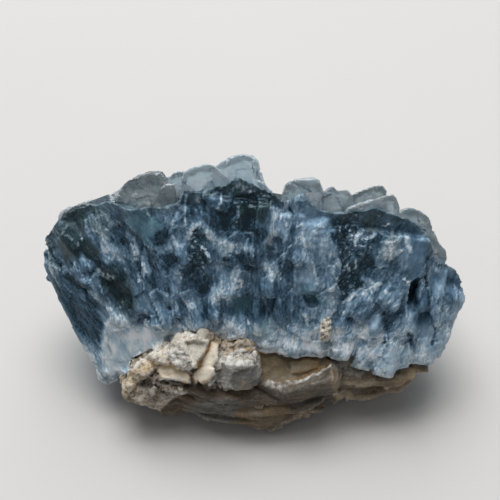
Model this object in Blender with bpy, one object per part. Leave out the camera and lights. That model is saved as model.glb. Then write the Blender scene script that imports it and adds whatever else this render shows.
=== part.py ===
# Celestite crystal cluster: blue crystals that fan up from a lump of tan rock.
# The cluster was broken across, so its front is a sloping break through the crystals,
# and their natural ends stand behind the upper edge of that break.
# Lengths are in millimetres and are made metres where a mesh is built.
# X is to the right, Y away from the broken front, Z up.

import math
import random

import bmesh
import bpy
from mathutils import Matrix, Vector, noise

MM = 0.001
SEED = 7

# Gap kept between the crystals and the rock that they grow from, the grain of the skin
# that cuts it, and the share of that skin's triangles that is kept
SEAT_GAP = 0.7
SEAT_VOXEL = 0.6
SEAT_SHARE = 0.05

# The break: a sloping face that turns away at its left and right ends
BREAK_FOOT = Vector((0.0, -11.0, 17.0))
BREAK_LEAN = math.radians(39.5)
LEFT_TURN_X, LEFT_TURN = -20.0, math.radians(25.0)
RIGHT_TURN_X, RIGHT_TURN = 28.0, math.radians(20.0)

# Cross-sections of a crystal, as shares of its width and depth
BLOCK = [
    (0.4, 0.5),
    (0.5, 0.34),
    (0.5, -0.3),
    (0.36, -0.5),
    (-0.36, -0.5),
    (-0.5, -0.3),
    (-0.5, 0.38),
    (-0.42, 0.5),
]
RIDGE = [(0.18, 0.5), (0.5, 0.36), (0.48, -0.4), (-0.48, -0.4), (-0.5, 0.38), (-0.3, 0.47)]
PRISM = [(0.5, 0.0), (0.27, 0.5), (-0.27, 0.5), (-0.5, 0.0), (-0.27, -0.5), (0.27, -0.5)]

# Rings of corners along a crystal: share of its length, and share of its full width.
# Each corner's place varies by a share of the width.
RINGS = {"foot": (0.0, 0.8), "shoulder": (0.8, 1.0), "broken": (1.0, 0.9)}
CORNER_VARIES = 0.09

# A broken end slopes up from its front to its back, and its corners vary in height
BROKEN_SLOPE = 0.26
BROKEN_VARIES = (-0.04, 0.12)

# A wedge end is a ridge across the crystal, which may shift to a side, and one corner
# a little under it at the front
RIDGE_ENDS = (-0.24, 0.2)
RIDGE_SHIFT = 0.12
WEDGE_CORNER_DOWN, WEDGE_CORNER_FORWARD = 0.04, 0.16

# Columns cut by the break: foot across and up the face, top across and up the face,
# width, and how far the column stands out of the face
COLUMN_DEPTH = 11.0
COLUMN_TILT = 13.0
COLUMN_OUT_VARIES = 0.6
COLUMNS = [
    (-28.9, -9.8, -42.0, 14.5, 6.0, -0.8),
    (-27.2, -8.0, -38.5, 21.0, 9.0, 0.0),
    (-22.5, -4.0, -33.4, 25.5, 9.5, 0.7),
    (-17.5, 0.0, -27.0, 28.5, 10.0, 0.0),
    (-14.0, 1.0, -21.4, 30.5, 9.0, 0.6),
    (-11.0, 0.5, -15.6, 31.5, 8.5, -0.4),
    (-8.5, 0.0, -10.6, 32.0, 9.5, 0.4),
    (-4.0, 0.0, -5.0, 34.0, 9.5, 0.9),
    (-0.6, -0.5, 0.6, 33.0, 8.5, 0.2),
    (3.2, -1.0, 4.4, 30.5, 8.0, -0.4),
    (7.0, -1.0, 8.2, 30.5, 8.0, 0.5),
    (12.6, -0.5, 11.6, 29.5, 9.0, 1.2),
    (15.6, 1.5, 15.2, 28.0, 7.0, 0.8),
    (19.0, 0.0, 20.4, 27.0, 9.0, -1.0),
    (21.0, 0.5, 25.6, 27.0, 9.5, -0.5),
    (24.5, -0.5, 30.4, 25.5, 8.5, 0.2),
    (29.2, -2.0, 34.4, 23.5, 8.5, 0.8),
    (32.6, -3.0, 38.0, 18.5, 6.5, -1.1),
    (36.0, -2.8, 40.4, 11.5, 7.6, 0.7),
]

# Blocks at the foot of the break, in the same measures. Each runs into the face at its top.
FOOT_BLOCK_DEPTH = 8.0
FOOT_BLOCK_TILT = 24.0
FOOT_BLOCK_SINK = 2.6
FOOT_BLOCKS = [
    (-33.6, -3.0, -39.6, 6.6, 4.4, -0.6),
    (-29.8, -9.0, -32.5, 3.0, 6.5, 1.2),
    (-26.0, -7.0, -28.0, 5.5, 5.0, 2.0),
    (-22.5, -3.2, -26.5, 9.5, 7.0, 1.5),
    (-19.0, -0.2, -21.0, 9.0, 4.5, 2.1),
    (-14.2, 1.0, -16.5, 11.0, 6.0, 1.3),
    (-8.6, 0.6, -10.0, 12.0, 6.0, 1.5),
    (-3.4, 2.5, -3.4, 16.5, 4.6, 1.9),
    (2.2, -0.4, 3.0, 10.5, 5.6, 1.2),
    (7.6, -0.8, 9.5, 9.0, 6.4, 1.8),
    (13.4, -0.8, 13.0, 8.0, 5.2, 1.3),
    (17.6, -1.6, 18.5, 7.0, 5.2, 2.3),
    (22.0, -3.6, 25.0, 5.5, 5.6, 1.5),
    (22.8, 2.5, 28.0, 12.5, 4.2, 1.7),
    (26.6, -5.0, 28.0, 4.5, 5.0, 2.6),
    (30.6, -4.2, 33.0, 7.5, 4.6, 1.7),
    (34.6, -4.6, 36.5, 4.0, 5.2, 2.3),
    (38.4, -2.6, 40.2, 8.0, 4.8, 1.6),
]

# Thin blades left standing on the break, scattered by chance. None reaches above a line
# that falls away from the middle of the break.
BLADES = 42
BLADE_ACROSS = (-35.0, 39.0)
BLADE_FLOOR = 2.0
BLADE_LINE, BLADE_LINE_FALL = 29.0, 0.34
BLADE_LENGTH = (5.0, 13.0)
BLADE_WIDTH = (1.6, 4.2)
BLADE_OUT = (0.7, 1.9)
BLADE_ROOT = 3.0
BLADE_SPREAD = 9.0

# A blade's cross-section: its ridge may lie to a side and stands above its two edges.
# It is highest a short way along, and it narrows and sinks into the face at its end.
BLADE_RIDGE_SHIFT = 0.3
BLADE_RIDGE_LIFT = 0.2
BLADE_LEFT_EDGE, BLADE_RIGHT_EDGE = -0.35, -0.5
BLADE_SHOULDER, BLADE_SHOULDER_LIFT = 0.12, 0.3
BLADE_END_HALF_WIDTH, BLADE_END_OUT = 0.3, -0.4
BLADE_UP_VARIES, BLADE_OUT_VARIES = 0.5, 0.15

# Lean of the growth from upright, in degrees, at places across the break
FAN = [
    (-40.0, -33.0),
    (-26.0, -30.0),
    (-14.0, -17.0),
    (0.0, 0.0),
    (10.0, 3.0),
    (24.0, 33.0),
    (33.0, 16.0),
    (41.0, 10.0),
]

# Pits in the break: across and up the face, half width, half length, depth, lean in degrees
PITS = [
    (32.6, 11.0, 1.3, 4.6, 3.2, 6.0),
    (11.6, 11.6, 2.4, 1.6, 1.9, 60.0),
    (-27.6, 11.0, 2.6, 4.8, 1.7, -34.0),
    (-32.4, 6.5, 1.8, 3.2, 1.5, -26.0),
    (-10.6, 17.6, 2.4, 5.4, 1.5, -4.0),
    (19.8, 16.0, 2.2, 6.0, 1.6, 12.0),
    (-20.5, 18.0, 1.5, 3.4, 1.4, -20.0),
    (4.4, 23.0, 1.7, 3.2, 1.4, 6.0),
]
PIT_CORNERS = 16
PIT_CENTRE_OUT = 1.5
PIT_ABOVE_FACE = 1.0

# Natural ends behind the upper edge: top X, Y, Z, foot X, Y, Z, width, depth,
# turn about the crystal's own axis in degrees, and the kind of end
TIPS = [
    (-40.2, 11.8, 32.4, -20.0, 0.0, 12.0, 9.0, 8.0, 20.0, "wedge"),
    (-31.5, 14.2, 36.0, -17.0, 4.0, 14.0, 10.0, 7.0, -15.0, "wedge"),
    (-23.4, 13.2, 41.6, -13.0, 2.0, 14.0, 13.0, 8.0, 8.0, "broken"),
    (-16.5, 16.5, 39.8, -9.0, 4.0, 14.0, 6.0, 7.0, 30.0, "wedge"),
    (-10.6, 15.0, 43.6, -7.0, 2.0, 14.0, 11.5, 6.0, -6.0, "broken"),
    (-3.2, 17.0, 46.8, -2.6, 2.0, 14.0, 11.5, 7.0, 4.0, "wedge"),
    (4.0, 18.5, 35.0, 1.0, 5.0, 14.0, 9.0, 8.0, -25.0, "wedge"),
    (10.8, 12.6, 41.2, 6.0, 0.0, 14.0, 9.5, 7.5, 5.0, "broken"),
    (16.5, 13.5, 39.8, 8.0, 1.0, 14.0, 6.5, 7.0, -20.0, "wedge"),
    (20.5, 16.5, 38.0, 10.0, 2.0, 14.0, 7.0, 7.5, 15.0, "wedge"),
    (26.0, 13.4, 39.8, 13.0, 0.0, 14.0, 11.5, 5.5, -12.0, "wedge"),
    (30.5, 14.5, 37.2, 15.0, 0.0, 14.0, 7.5, 5.0, 20.0, "wedge"),
    (34.6, 11.5, 34.0, 17.0, -1.0, 13.0, 9.5, 8.0, 10.0, "broken"),
    (40.0, 9.0, 28.4, 20.0, -2.0, 12.0, 8.0, 8.0, -18.0, "wedge"),
    (42.0, 5.0, 21.0, 21.0, -2.0, 12.0, 8.0, 8.0, 12.0, "broken"),
]
TIP_FACING = Vector((0.0, -1.0, 0.5))

# Crystals that fan out behind the tips, in rows from the top down: how far the row
# reaches back and up at its middle, half its width, and the number of crystals in it
BACK_ROWS = [
    {"back": 21.5, "up": 34.4, "half_width": 33.0, "count": 7},
    {"back": 26.5, "up": 27.5, "half_width": 36.0, "count": 7},
    {"back": 27.5, "up": 18.0, "half_width": 35.0, "count": 7},
]
BACK_ROOT = Vector((0.0, 3.0, 12.0))
BACK_ROOT_SPREAD = 0.5
BACK_WIDTH, BACK_DEPTH = 12.5, 10.5
BACK_SIZE_VARIES = (0.8, 1.1)
BACK_SPIN = 0.7
BACK_FACING = Vector((0.1, 0.3, 1.0))

# Towards the ends of a row the crystals fall away, both forward and down, and each
# crystal's end varies in place along X, Y and Z
BACK_END_DROP = 9.0
BACK_DROP_FORWARD, BACK_DROP_DOWN = 1.4, 0.5
BACK_VARIES_X, BACK_VARIES_Y, BACK_VARIES_Z = 1.5, 1.2, 1.8

# Solid heart of the crystals: level, and the reach of its outline to each side
HEART_LEVELS = [
    {"z": 11.5, "left": -27.0, "right": 31.0, "front": -9.0, "back": 17.0},
    {"z": 20.0, "left": -31.0, "right": 34.0, "front": -5.5, "back": 20.0},
    {"z": 30.0, "left": -32.0, "right": 33.0, "front": 2.5, "back": 18.0},
    {"z": 36.0, "left": -26.0, "right": 27.0, "front": 8.0, "back": 14.0},
]
HEART_SIDES = 20

# An exponent under 1 squares the shoulders of an oval outline
OVAL_EXPONENT = 0.85

# The rock's body: level, and the reach of its outline to each side
ROCK_LEVELS = [
    {"z": 0.0, "left": -17.0, "right": 20.0, "front": -12.5, "back": 12.0},
    {"z": 2.5, "left": -22.0, "right": 25.0, "front": -16.0, "back": 16.5},
    {"z": 6.0, "left": -25.0, "right": 29.5, "front": -16.5, "back": 20.0},
    {"z": 9.5, "left": -26.0, "right": 32.0, "front": -15.5, "back": 22.0},
    {"z": 13.0, "left": -24.0, "right": 31.0, "front": -13.0, "back": 20.5},
    {"z": 15.5, "left": -20.0, "right": 26.0, "front": -11.0, "back": 16.0},
]
ROCK_SIDES = 36
ROCK_PEAK_X, ROCK_PEAK_Y, ROCK_PEAK_RISE = 2.0, 2.0, 1.0

# Roughness of the rock's body, coarse and fine, and how many times finer the second is
ROCK_ROUGHNESS = 0.8
ROCK_GRAIN = 0.16
ROCK_COARSE, ROCK_FINE = 1.6, 0.6
ROCK_FINER = 3

# Stones and ledges of the rock: centre X, Y, Z, half sizes along X, Y, Z,
# turns about X, Y, Z in degrees, and the number of corners
STONES = {
    "crumbly_knob": (-22.4, -12.6, 8.6, 4.8, 4.4, 4.6, 20.0, 10.0, 20.0, 22),
    "knob_foot": (-17.8, -13.6, 6.0, 5.6, 4.2, 4.2, 0.0, -12.0, -10.0, 20),
    "knob_top": (-20.6, -11.6, 13.4, 4.2, 3.6, 2.6, 24.0, 20.0, 12.0, 16),
    "vuggy_crust": (-11.6, -10.6, 17.2, 6.2, 3.8, 3.2, 34.0, 0.0, 4.0, 22),
    "crust_end": (-17.2, -11.2, 15.2, 4.4, 3.2, 2.8, 30.0, 24.0, 10.0, 16),
    "crust_right": (-4.4, -11.0, 17.0, 4.6, 3.0, 2.2, 30.0, -6.0, 0.0, 16),
    "white_edged_slab": (-15.4, -13.6, 13.0, 4.6, 4.0, 1.5, 26.0, 4.0, -6.0, 14),
    "tan_wedge": (-9.6, -13.2, 15.0, 2.6, 4.4, 2.4, 42.0, -8.0, 10.0, 12),
    "grey_block": (-2.8, -13.4, 14.4, 4.9, 4.2, 4.0, 30.0, 8.0, 12.0, 14),
    "scoop_shell": (9.4, -12.6, 11.6, 9.6, 5.6, 4.4, 12.0, -4.0, 10.0, 24),
    "front_belly": (1.8, -12.8, 6.4, 14.0, 7.0, 5.4, 0.0, 0.0, 5.0, 26),
    "left_belly": (-9.6, -12.8, 7.4, 9.6, 6.0, 5.2, 4.0, 6.0, -10.0, 22),
    "low_lobe": (3.8, -15.8, 4.8, 6.8, 4.5, 3.4, 0.0, -4.0, 8.0, 18),
    "upper_layer": (-3.0, -14.4, 10.9, 13.0, 4.8, 1.0, 6.0, 2.0, -2.0, 20),
    "middle_layer": (3.0, -14.8, 8.2, 13.5, 5.2, 1.0, 4.0, -2.0, 6.0, 20),
    "lower_layer": (-4.5, -14.4, 4.8, 14.5, 5.6, 1.1, 0.0, 2.0, -3.0, 20),
    "bottom_layer": (9.0, -10.8, 3.2, 12.0, 5.6, 1.0, 0.0, -3.0, 14.0, 18),
    "right_shelf": (22.6, -11.2, 10.6, 10.0, 4.6, 1.6, 10.0, -2.0, 8.0, 20),
    "right_layer": (25.4, -10.6, 7.8, 8.6, 4.6, 1.2, 6.0, -4.0, 12.0, 18),
    "right_ledge": (29.4, -10.6, 11.2, 5.6, 3.4, 1.1, 10.0, -6.0, 4.0, 14),
    "ledge_tip": (33.2, -10.2, 11.0, 3.4, 1.6, 0.8, 8.0, 8.0, 6.0, 12),
    "back_lump": (-8.0, 15.0, 7.0, 12.0, 6.5, 5.0, -8.0, 0.0, 6.0, 26),
    "back_shelf": (16.0, 14.5, 6.5, 13.0, 6.0, 4.4, -6.0, 0.0, -8.0, 26),
    "back_layer": (4.0, 17.0, 11.0, 15.0, 5.6, 1.2, -4.0, 2.0, 0.0, 20),
}

# A stone's corners are spread over a ball along a spiral, pushed out towards a box,
# and drawn in by chance
GOLDEN_TURN = math.radians(137.5)
STONE_LEVEL_VARIES = (0.3, 0.7)
STONE_TURN_VARIES = 0.3
STONE_SQUARENESS = 0.6
STONE_REACH = (0.88, 1.0)

# Hollows in the rock, in the same measures without corners: they are smooth
HOLLOWS = {
    "shell_scoop": (8.6, -13.6, 17.2, 8.8, 5.6, 4.0, 24.0, -9.0, 12.0),
    "scoop_end": (14.6, -13.6, 16.6, 5.6, 3.2, 2.6, 20.0, -14.0, 24.0),
    "slab_undercut": (-15.6, -17.6, 10.2, 4.6, 2.6, 1.0, 10.0, 4.0, -6.0),
    "shelf_undercut": (21.0, -14.6, 9.4, 8.0, 3.0, 1.0, 8.0, -2.0, 8.0),
}
HOLLOW_GRAIN, HOLLOW_ROUGHNESS = 1.7, 0.14

# Points nearer to each other than this, in metres, become one
MERGE_WITHIN = 0.00001

CRYSTAL_COLOUR = (0.10, 0.17, 0.25, 1.0)
ROCK_COLOUR = (0.36, 0.28, 0.19, 1.0)


def clear_scene():
    for old in list(bpy.data.objects):
        bpy.data.objects.remove(old)


def make_material(name, colour, roughness):
    material = bpy.data.materials.new(name)
    material.use_nodes = True
    shader = material.node_tree.nodes["Principled BSDF"]
    shader.inputs["Base Color"].default_value = colour
    shader.inputs["Roughness"].default_value = roughness
    shader.inputs["Metallic"].default_value = 0.0
    return material


# A point on the break, given across and up it, and a distance out of it
def break_point(across, up, out):
    turned_back = 0.0
    if across < LEFT_TURN_X:
        turned_back = (LEFT_TURN_X - across) * math.tan(LEFT_TURN)
    if across > RIGHT_TURN_X:
        turned_back = (across - RIGHT_TURN_X) * math.tan(RIGHT_TURN)
    point = BREAK_FOOT + Vector((across, 0.0, 0.0))
    point.y += up * math.sin(BREAK_LEAN) + turned_back
    point.z += up * math.cos(BREAK_LEAN)
    return point + out * break_normal(across)


def break_normal(across):
    turn = 0.0
    if across < LEFT_TURN_X:
        turn = LEFT_TURN
    if across > RIGHT_TURN_X:
        turn = -RIGHT_TURN
    level = Vector((-math.sin(turn), -math.cos(turn), 0.0))
    return (level * math.cos(BREAK_LEAN) + Vector((0.0, 0.0, math.sin(BREAK_LEAN)))).normalized()


# The lean of the growth at a place across the break, in radians
def fan_lean(across):
    across = min(max(across, FAN[0][0]), FAN[-1][0])
    for (left, lean), (right, next_lean) in zip(FAN, FAN[1:]):
        if across <= right:
            share = (across - left) / (right - left)
            break
    return math.radians(lean + (next_lean - lean) * share)


# The closed convex solid round a set of points
def hull_object(name, points, collection):
    shape = bmesh.new()
    for point in points:
        shape.verts.new(point * MM)
    bmesh.ops.convex_hull(shape, input=shape.verts)
    inside = [vert for vert in shape.verts if not vert.link_faces]
    bmesh.ops.delete(shape, geom=inside, context="VERTS")
    bmesh.ops.recalc_face_normals(shape, faces=shape.faces)
    return object_from(name, shape, collection)


def object_from(name, shape, collection):
    mesh = bpy.data.meshes.new(name)
    shape.to_mesh(mesh)
    shape.free()
    made = bpy.data.objects.new(name, mesh)
    collection.objects.link(made)
    return made


# One crystal as points: a tapered prism from foot to top with a wedge or a broken end
def crystal_points(foot, top, width, depth, facing, section, end, chance):
    along = (top - foot).normalized()
    side = along.cross(facing).normalized()
    front = side.cross(along)
    length = (top - foot).length
    levels = ["foot", "shoulder"]
    if end == "broken":
        levels.append("broken")
    points = []
    for level in levels:
        share, scale = RINGS[level]
        for across, deep in section:
            jitter = 1.0 + chance.uniform(-CORNER_VARIES, CORNER_VARIES)
            reach = length * share
            if level == "broken":
                reach -= deep * depth * BROKEN_SLOPE + chance.uniform(*BROKEN_VARIES) * width
            point = foot + along * reach + side * across * width * scale * jitter
            points.append(point + front * deep * depth * scale)
    if end == "wedge":
        shift = chance.uniform(-RIDGE_SHIFT, RIDGE_SHIFT)
        for across in RIDGE_ENDS:
            points.append(top + side * (across + shift) * width)
        under = top - along * length * WEDGE_CORNER_DOWN
        points.append(under + front * depth * WEDGE_CORNER_FORWARD)
    return points


# The direction that a column of the break faces, turned a little about its length
def column_facing(foot, top, across, tilt):
    turn = Matrix.Rotation(math.radians(tilt), 3, (top - foot).normalized())
    return turn @ break_normal(across)


def grow_columns(collection, chance):
    for number, (foot_x, foot_up, top_x, top_up, width, out) in enumerate(COLUMNS):
        foot = break_point(foot_x, foot_up, out - COLUMN_DEPTH / 2)
        top_out = out + chance.uniform(-COLUMN_OUT_VARIES, COLUMN_OUT_VARIES)
        top = break_point(top_x, top_up, top_out - COLUMN_DEPTH / 2)
        tilt = chance.uniform(-COLUMN_TILT, COLUMN_TILT)
        facing = column_facing(foot, top, (foot_x + top_x) / 2, tilt)
        section = chance.choice([BLOCK, RIDGE])
        depth = COLUMN_DEPTH
        points = crystal_points(foot, top, width, depth, facing, section, "broken", chance)
        hull_object(f"column_{number}", points, collection)


def grow_foot_blocks(collection, chance):
    for number, (foot_x, foot_up, top_x, top_up, width, out) in enumerate(FOOT_BLOCKS):
        foot = break_point(foot_x, foot_up, out - FOOT_BLOCK_DEPTH / 2)
        top = break_point(top_x, top_up, out - FOOT_BLOCK_SINK - FOOT_BLOCK_DEPTH / 2)
        tilt = chance.uniform(-FOOT_BLOCK_TILT, FOOT_BLOCK_TILT)
        facing = column_facing(foot, top, (foot_x + top_x) / 2, tilt)
        section = chance.choice([BLOCK, RIDGE, PRISM])
        depth = FOOT_BLOCK_DEPTH
        points = crystal_points(foot, top, width, depth, facing, section, "broken", chance)
        hull_object(f"foot_block_{number}", points, collection)


# A blade is thick at its lower end and runs into the face at its upper end
def grow_blades(collection, chance):
    for number in range(BLADES):
        share = (number + chance.uniform(0.2, 0.8)) / BLADES
        across = BLADE_ACROSS[0] + share * (BLADE_ACROSS[1] - BLADE_ACROSS[0])
        line = BLADE_LINE - BLADE_LINE_FALL * abs(across)
        up = chance.uniform(BLADE_FLOOR, line - BLADE_LENGTH[0])
        lean = fan_lean(across) + math.radians(chance.uniform(-BLADE_SPREAD, BLADE_SPREAD))
        length = min(chance.uniform(*BLADE_LENGTH), line - up)
        width = chance.uniform(*BLADE_WIDTH)
        out = chance.uniform(*BLADE_OUT)
        ridge = chance.uniform(-BLADE_RIDGE_SHIFT, BLADE_RIDGE_SHIFT)
        sections = [
            (0.0, 0.5, out),
            (BLADE_SHOULDER, 0.5, out + BLADE_SHOULDER_LIFT),
            (1.0, BLADE_END_HALF_WIDTH, BLADE_END_OUT),
        ]
        points = []
        for along, half, height in sections:
            corners = [
                (-half, BLADE_LEFT_EDGE),
                (ridge, BLADE_RIDGE_LIFT),
                (half, BLADE_RIGHT_EDGE),
                (-half, -BLADE_ROOT),
                (half, -BLADE_ROOT),
            ]
            for sideways, lift in corners:
                x = across + math.sin(lean) * along * length + math.cos(lean) * sideways * width
                y = up + math.cos(lean) * along * length - math.sin(lean) * sideways * width
                y += chance.uniform(-BLADE_UP_VARIES, BLADE_UP_VARIES)
                rise = chance.uniform(-BLADE_OUT_VARIES, BLADE_OUT_VARIES)
                points.append(break_point(x, y, height + lift + rise))
        hull_object(f"blade_{number}", points, collection)


def grow_tips(collection, chance):
    for number, (x, y, z, foot_x, foot_y, foot_z, width, depth, turn, end) in enumerate(TIPS):
        foot, top = Vector((foot_x, foot_y, foot_z)), Vector((x, y, z))
        spin = Matrix.Rotation(math.radians(turn), 3, (top - foot).normalized())
        facing = spin @ TIP_FACING
        points = crystal_points(foot, top, width, depth, facing, PRISM, end, chance)
        hull_object(f"tip_{number}", points, collection)


def grow_back_rows(collection, chance):
    for level, row in enumerate(BACK_ROWS):
        for number in range(row["count"]):
            # every other row starts half a crystal further along
            share = (number + 0.5 * (level % 2 == 0)) / (row["count"] - 0.5) * 2 - 1
            fall = share * share * BACK_END_DROP
            x = share * row["half_width"] + chance.uniform(-BACK_VARIES_X, BACK_VARIES_X)
            y = row["back"] - fall * BACK_DROP_FORWARD
            y += chance.uniform(-BACK_VARIES_Y, BACK_VARIES_Y)
            z = row["up"] - fall * BACK_DROP_DOWN
            z += chance.uniform(-BACK_VARIES_Z, BACK_VARIES_Z)
            top = Vector((x, y, z))
            foot = BACK_ROOT + Vector((x * BACK_ROOT_SPREAD, 0.0, 0.0))
            width = BACK_WIDTH * chance.uniform(*BACK_SIZE_VARIES)
            depth = BACK_DEPTH * chance.uniform(*BACK_SIZE_VARIES)
            turn = chance.uniform(-BACK_SPIN, BACK_SPIN)
            facing = Matrix.Rotation(turn, 3, (top - foot).normalized()) @ BACK_FACING
            points = crystal_points(foot, top, width, depth, facing, PRISM, "wedge", chance)
            hull_object(f"back_{level}_{number}", points, collection)


# Points spread over a ball of radius 1 and pushed out towards a box, so that their hull
# is a stone with flat, irregular faces
def stone_corners(count, chance):
    corners = []
    for number in range(count):
        level = 1 - 2 * (number + chance.uniform(*STONE_LEVEL_VARIES)) / count
        angle = number * GOLDEN_TURN + chance.uniform(-STONE_TURN_VARIES, STONE_TURN_VARIES)
        reach = math.sqrt(1 - level * level)
        corner = Vector((math.cos(angle) * reach, math.sin(angle) * reach, level))
        corner /= max(abs(value) for value in corner) ** STONE_SQUARENESS
        corners.append(corner * chance.uniform(*STONE_REACH))
    return corners


def turned_place(x, y, z, turn_x, turn_y, turn_z):
    place = Matrix.Translation(Vector((x, y, z)))
    for turn, axis in ((turn_z, "Z"), (turn_y, "Y"), (turn_x, "X")):
        place = place @ Matrix.Rotation(math.radians(turn), 4, axis)
    return place


def make_stones(collection, chance):
    for name, (x, y, z, half_x, half_y, half_z, turn_x, turn_y, turn_z, count) in STONES.items():
        place = turned_place(x, y, z, turn_x, turn_y, turn_z)
        place = place @ Matrix.Diagonal((half_x, half_y, half_z, 1.0))
        hull_object(name, [place @ corner for corner in stone_corners(count, chance)], collection)


def make_hollows(collection):
    for name, (x, y, z, half_x, half_y, half_z, turn_x, turn_y, turn_z) in HOLLOWS.items():
        shape = bmesh.new()
        bmesh.ops.create_icosphere(shape, subdivisions=2, radius=1.0)
        for vert in shape.verts:
            swell = noise.noise_vector(vert.co * HOLLOW_GRAIN + Vector((x, y, z)))
            vert.co += swell * HOLLOW_ROUGHNESS
        place = turned_place(x, y, z, turn_x, turn_y, turn_z)
        place = place @ Matrix.Diagonal((half_x, half_y, half_z, 1.0))
        shape.transform(Matrix.Scale(MM, 4) @ place)
        object_from(name, shape, collection)


def make_pits(collection, chance):
    for number, (across, up, half_width, half_length, depth, lean) in enumerate(PITS):
        lean = math.radians(lean)
        points = []
        for corner in stone_corners(PIT_CORNERS, chance):
            sideways, along = corner.x * half_width, corner.y * half_length
            x = across + math.sin(lean) * along + math.cos(lean) * sideways
            y = up + math.cos(lean) * along - math.sin(lean) * sideways
            out = PIT_CENTRE_OUT + corner.z * (depth + PIT_ABOVE_FACE)
            points.append(break_point(x, y, out))
        hull_object(f"pit_{number}", points, collection)


# One level of a lofted outline: an oval whose four reaches differ
def level_ring(level, sides):
    centre_x = (level["left"] + level["right"]) / 2
    centre_y = (level["front"] + level["back"]) / 2
    half_x = (level["right"] - level["left"]) / 2
    half_y = (level["back"] - level["front"]) / 2
    ring = []
    for number in range(sides):
        angle = 2 * math.pi * number / sides
        across = math.copysign(abs(math.cos(angle)) ** OVAL_EXPONENT, math.cos(angle))
        deep = math.copysign(abs(math.sin(angle)) ** OVAL_EXPONENT, math.sin(angle))
        ring.append(Vector((centre_x + half_x * across, centre_y + half_y * deep, level["z"])))
    return ring


def make_heart(collection):
    points = [point for level in HEART_LEVELS for point in level_ring(level, HEART_SIDES)]
    return hull_object("celestite_crystals", points, collection)


# The rock's body: bridged rings, roughened everywhere but on the flat it rests on
def make_rock(collection):
    shape = bmesh.new()
    rings = []
    for level in ROCK_LEVELS:
        verts = [shape.verts.new(point) for point in level_ring(level, ROCK_SIDES)]
        rings.append([shape.edges.new((verts[i - 1], verts[i])) for i in range(ROCK_SIDES)])
    for lower, upper in zip(rings, rings[1:]):
        bmesh.ops.bridge_loops(shape, edges=lower + upper)
    bmesh.ops.edgeloop_fill(shape, edges=rings[0])
    top = bmesh.ops.extrude_edge_only(shape, edges=rings[-1])["geom"]
    bmesh.ops.pointmerge(
        shape,
        verts=[item for item in top if isinstance(item, bmesh.types.BMVert)],
        merge_co=Vector((ROCK_PEAK_X, ROCK_PEAK_Y, ROCK_LEVELS[-1]["z"] + ROCK_PEAK_RISE)),
    )
    for vert in shape.verts:
        if vert.co.z > ROCK_LEVELS[0]["z"]:
            coarse = noise.noise_vector(vert.co * ROCK_GRAIN)
            vert.co += coarse * ROCK_ROUGHNESS * ROCK_COARSE
            fine = noise.noise_vector(vert.co * ROCK_GRAIN * ROCK_FINER)
            vert.co += fine * ROCK_ROUGHNESS * ROCK_FINE
    bmesh.ops.recalc_face_normals(shape, faces=shape.faces)
    shape.transform(Matrix.Scale(MM, 4))
    return object_from("matrix_rock", shape, collection)


def helper_collection(name):
    made = bpy.data.collections.new(name)
    bpy.context.scene.collection.children.link(made)
    return made


def hide_helpers(collection):
    for helper in collection.objects:
        helper.hide_render = True
        helper.display_type = "WIRE"
    collection.hide_render = True


def add_boolean(target, operation, other):
    modifier = target.modifiers.new(operation.lower(), "BOOLEAN")
    modifier.operation = operation
    modifier.solver = "EXACT"
    if isinstance(other, bpy.types.Collection):
        modifier.operand_type = "COLLECTION"
        modifier.collection = other
    else:
        modifier.object = other


# Fixes the modifiers' result in the mesh, and keeps its largest closed body
def settle(target):
    graph = bpy.context.evaluated_depsgraph_get()
    mesh = bpy.data.meshes.new_from_object(target.evaluated_get(graph))
    target.modifiers.clear()
    shape = bmesh.new()
    shape.from_mesh(mesh)
    bmesh.ops.remove_doubles(shape, verts=shape.verts, dist=MERGE_WITHIN)
    remaining = set(shape.verts)
    bodies = []
    while remaining:
        start = next(iter(remaining))
        body = {start}
        to_visit = [start]
        while to_visit:
            for edge in to_visit.pop().link_edges:
                for vert in edge.verts:
                    if vert not in body:
                        body.add(vert)
                        to_visit.append(vert)
        remaining -= body
        bodies.append(body)
    bodies.sort(key=len)
    crumbs = [vert for body in bodies[:-1] for vert in body]
    bmesh.ops.delete(shape, geom=crumbs, context="VERTS")
    shape.to_mesh(mesh)
    shape.free()
    target.data = mesh


# The rock grown by the gap, as one clean closed skin without folds
def seat_cutter(rock, collection):
    cutter = bpy.data.objects.new("rock_seat", rock.data.copy())
    collection.objects.link(cutter)
    grow = cutter.modifiers.new("gap", "DISPLACE")
    grow.strength = SEAT_GAP * MM
    grow.mid_level = 0.0
    skin = cutter.modifiers.new("skin", "REMESH")
    skin.mode = "VOXEL"
    skin.voxel_size = SEAT_VOXEL * MM
    fewer = cutter.modifiers.new("fewer", "DECIMATE")
    fewer.ratio = SEAT_SHARE
    return cutter


# Moves the pieces so that the origin is under the middle of the whole object
def centre_on_origin(pieces):
    corners = [vert.co for piece in pieces for vert in piece.data.vertices]
    low = Vector([min(corner[axis] for corner in corners) for axis in range(3)])
    high = Vector([max(corner[axis] for corner in corners) for axis in range(3)])
    shift = Matrix.Translation(-Vector(((low.x + high.x) / 2, (low.y + high.y) / 2, low.z)))
    for piece in pieces:
        piece.data.transform(shift)


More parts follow.
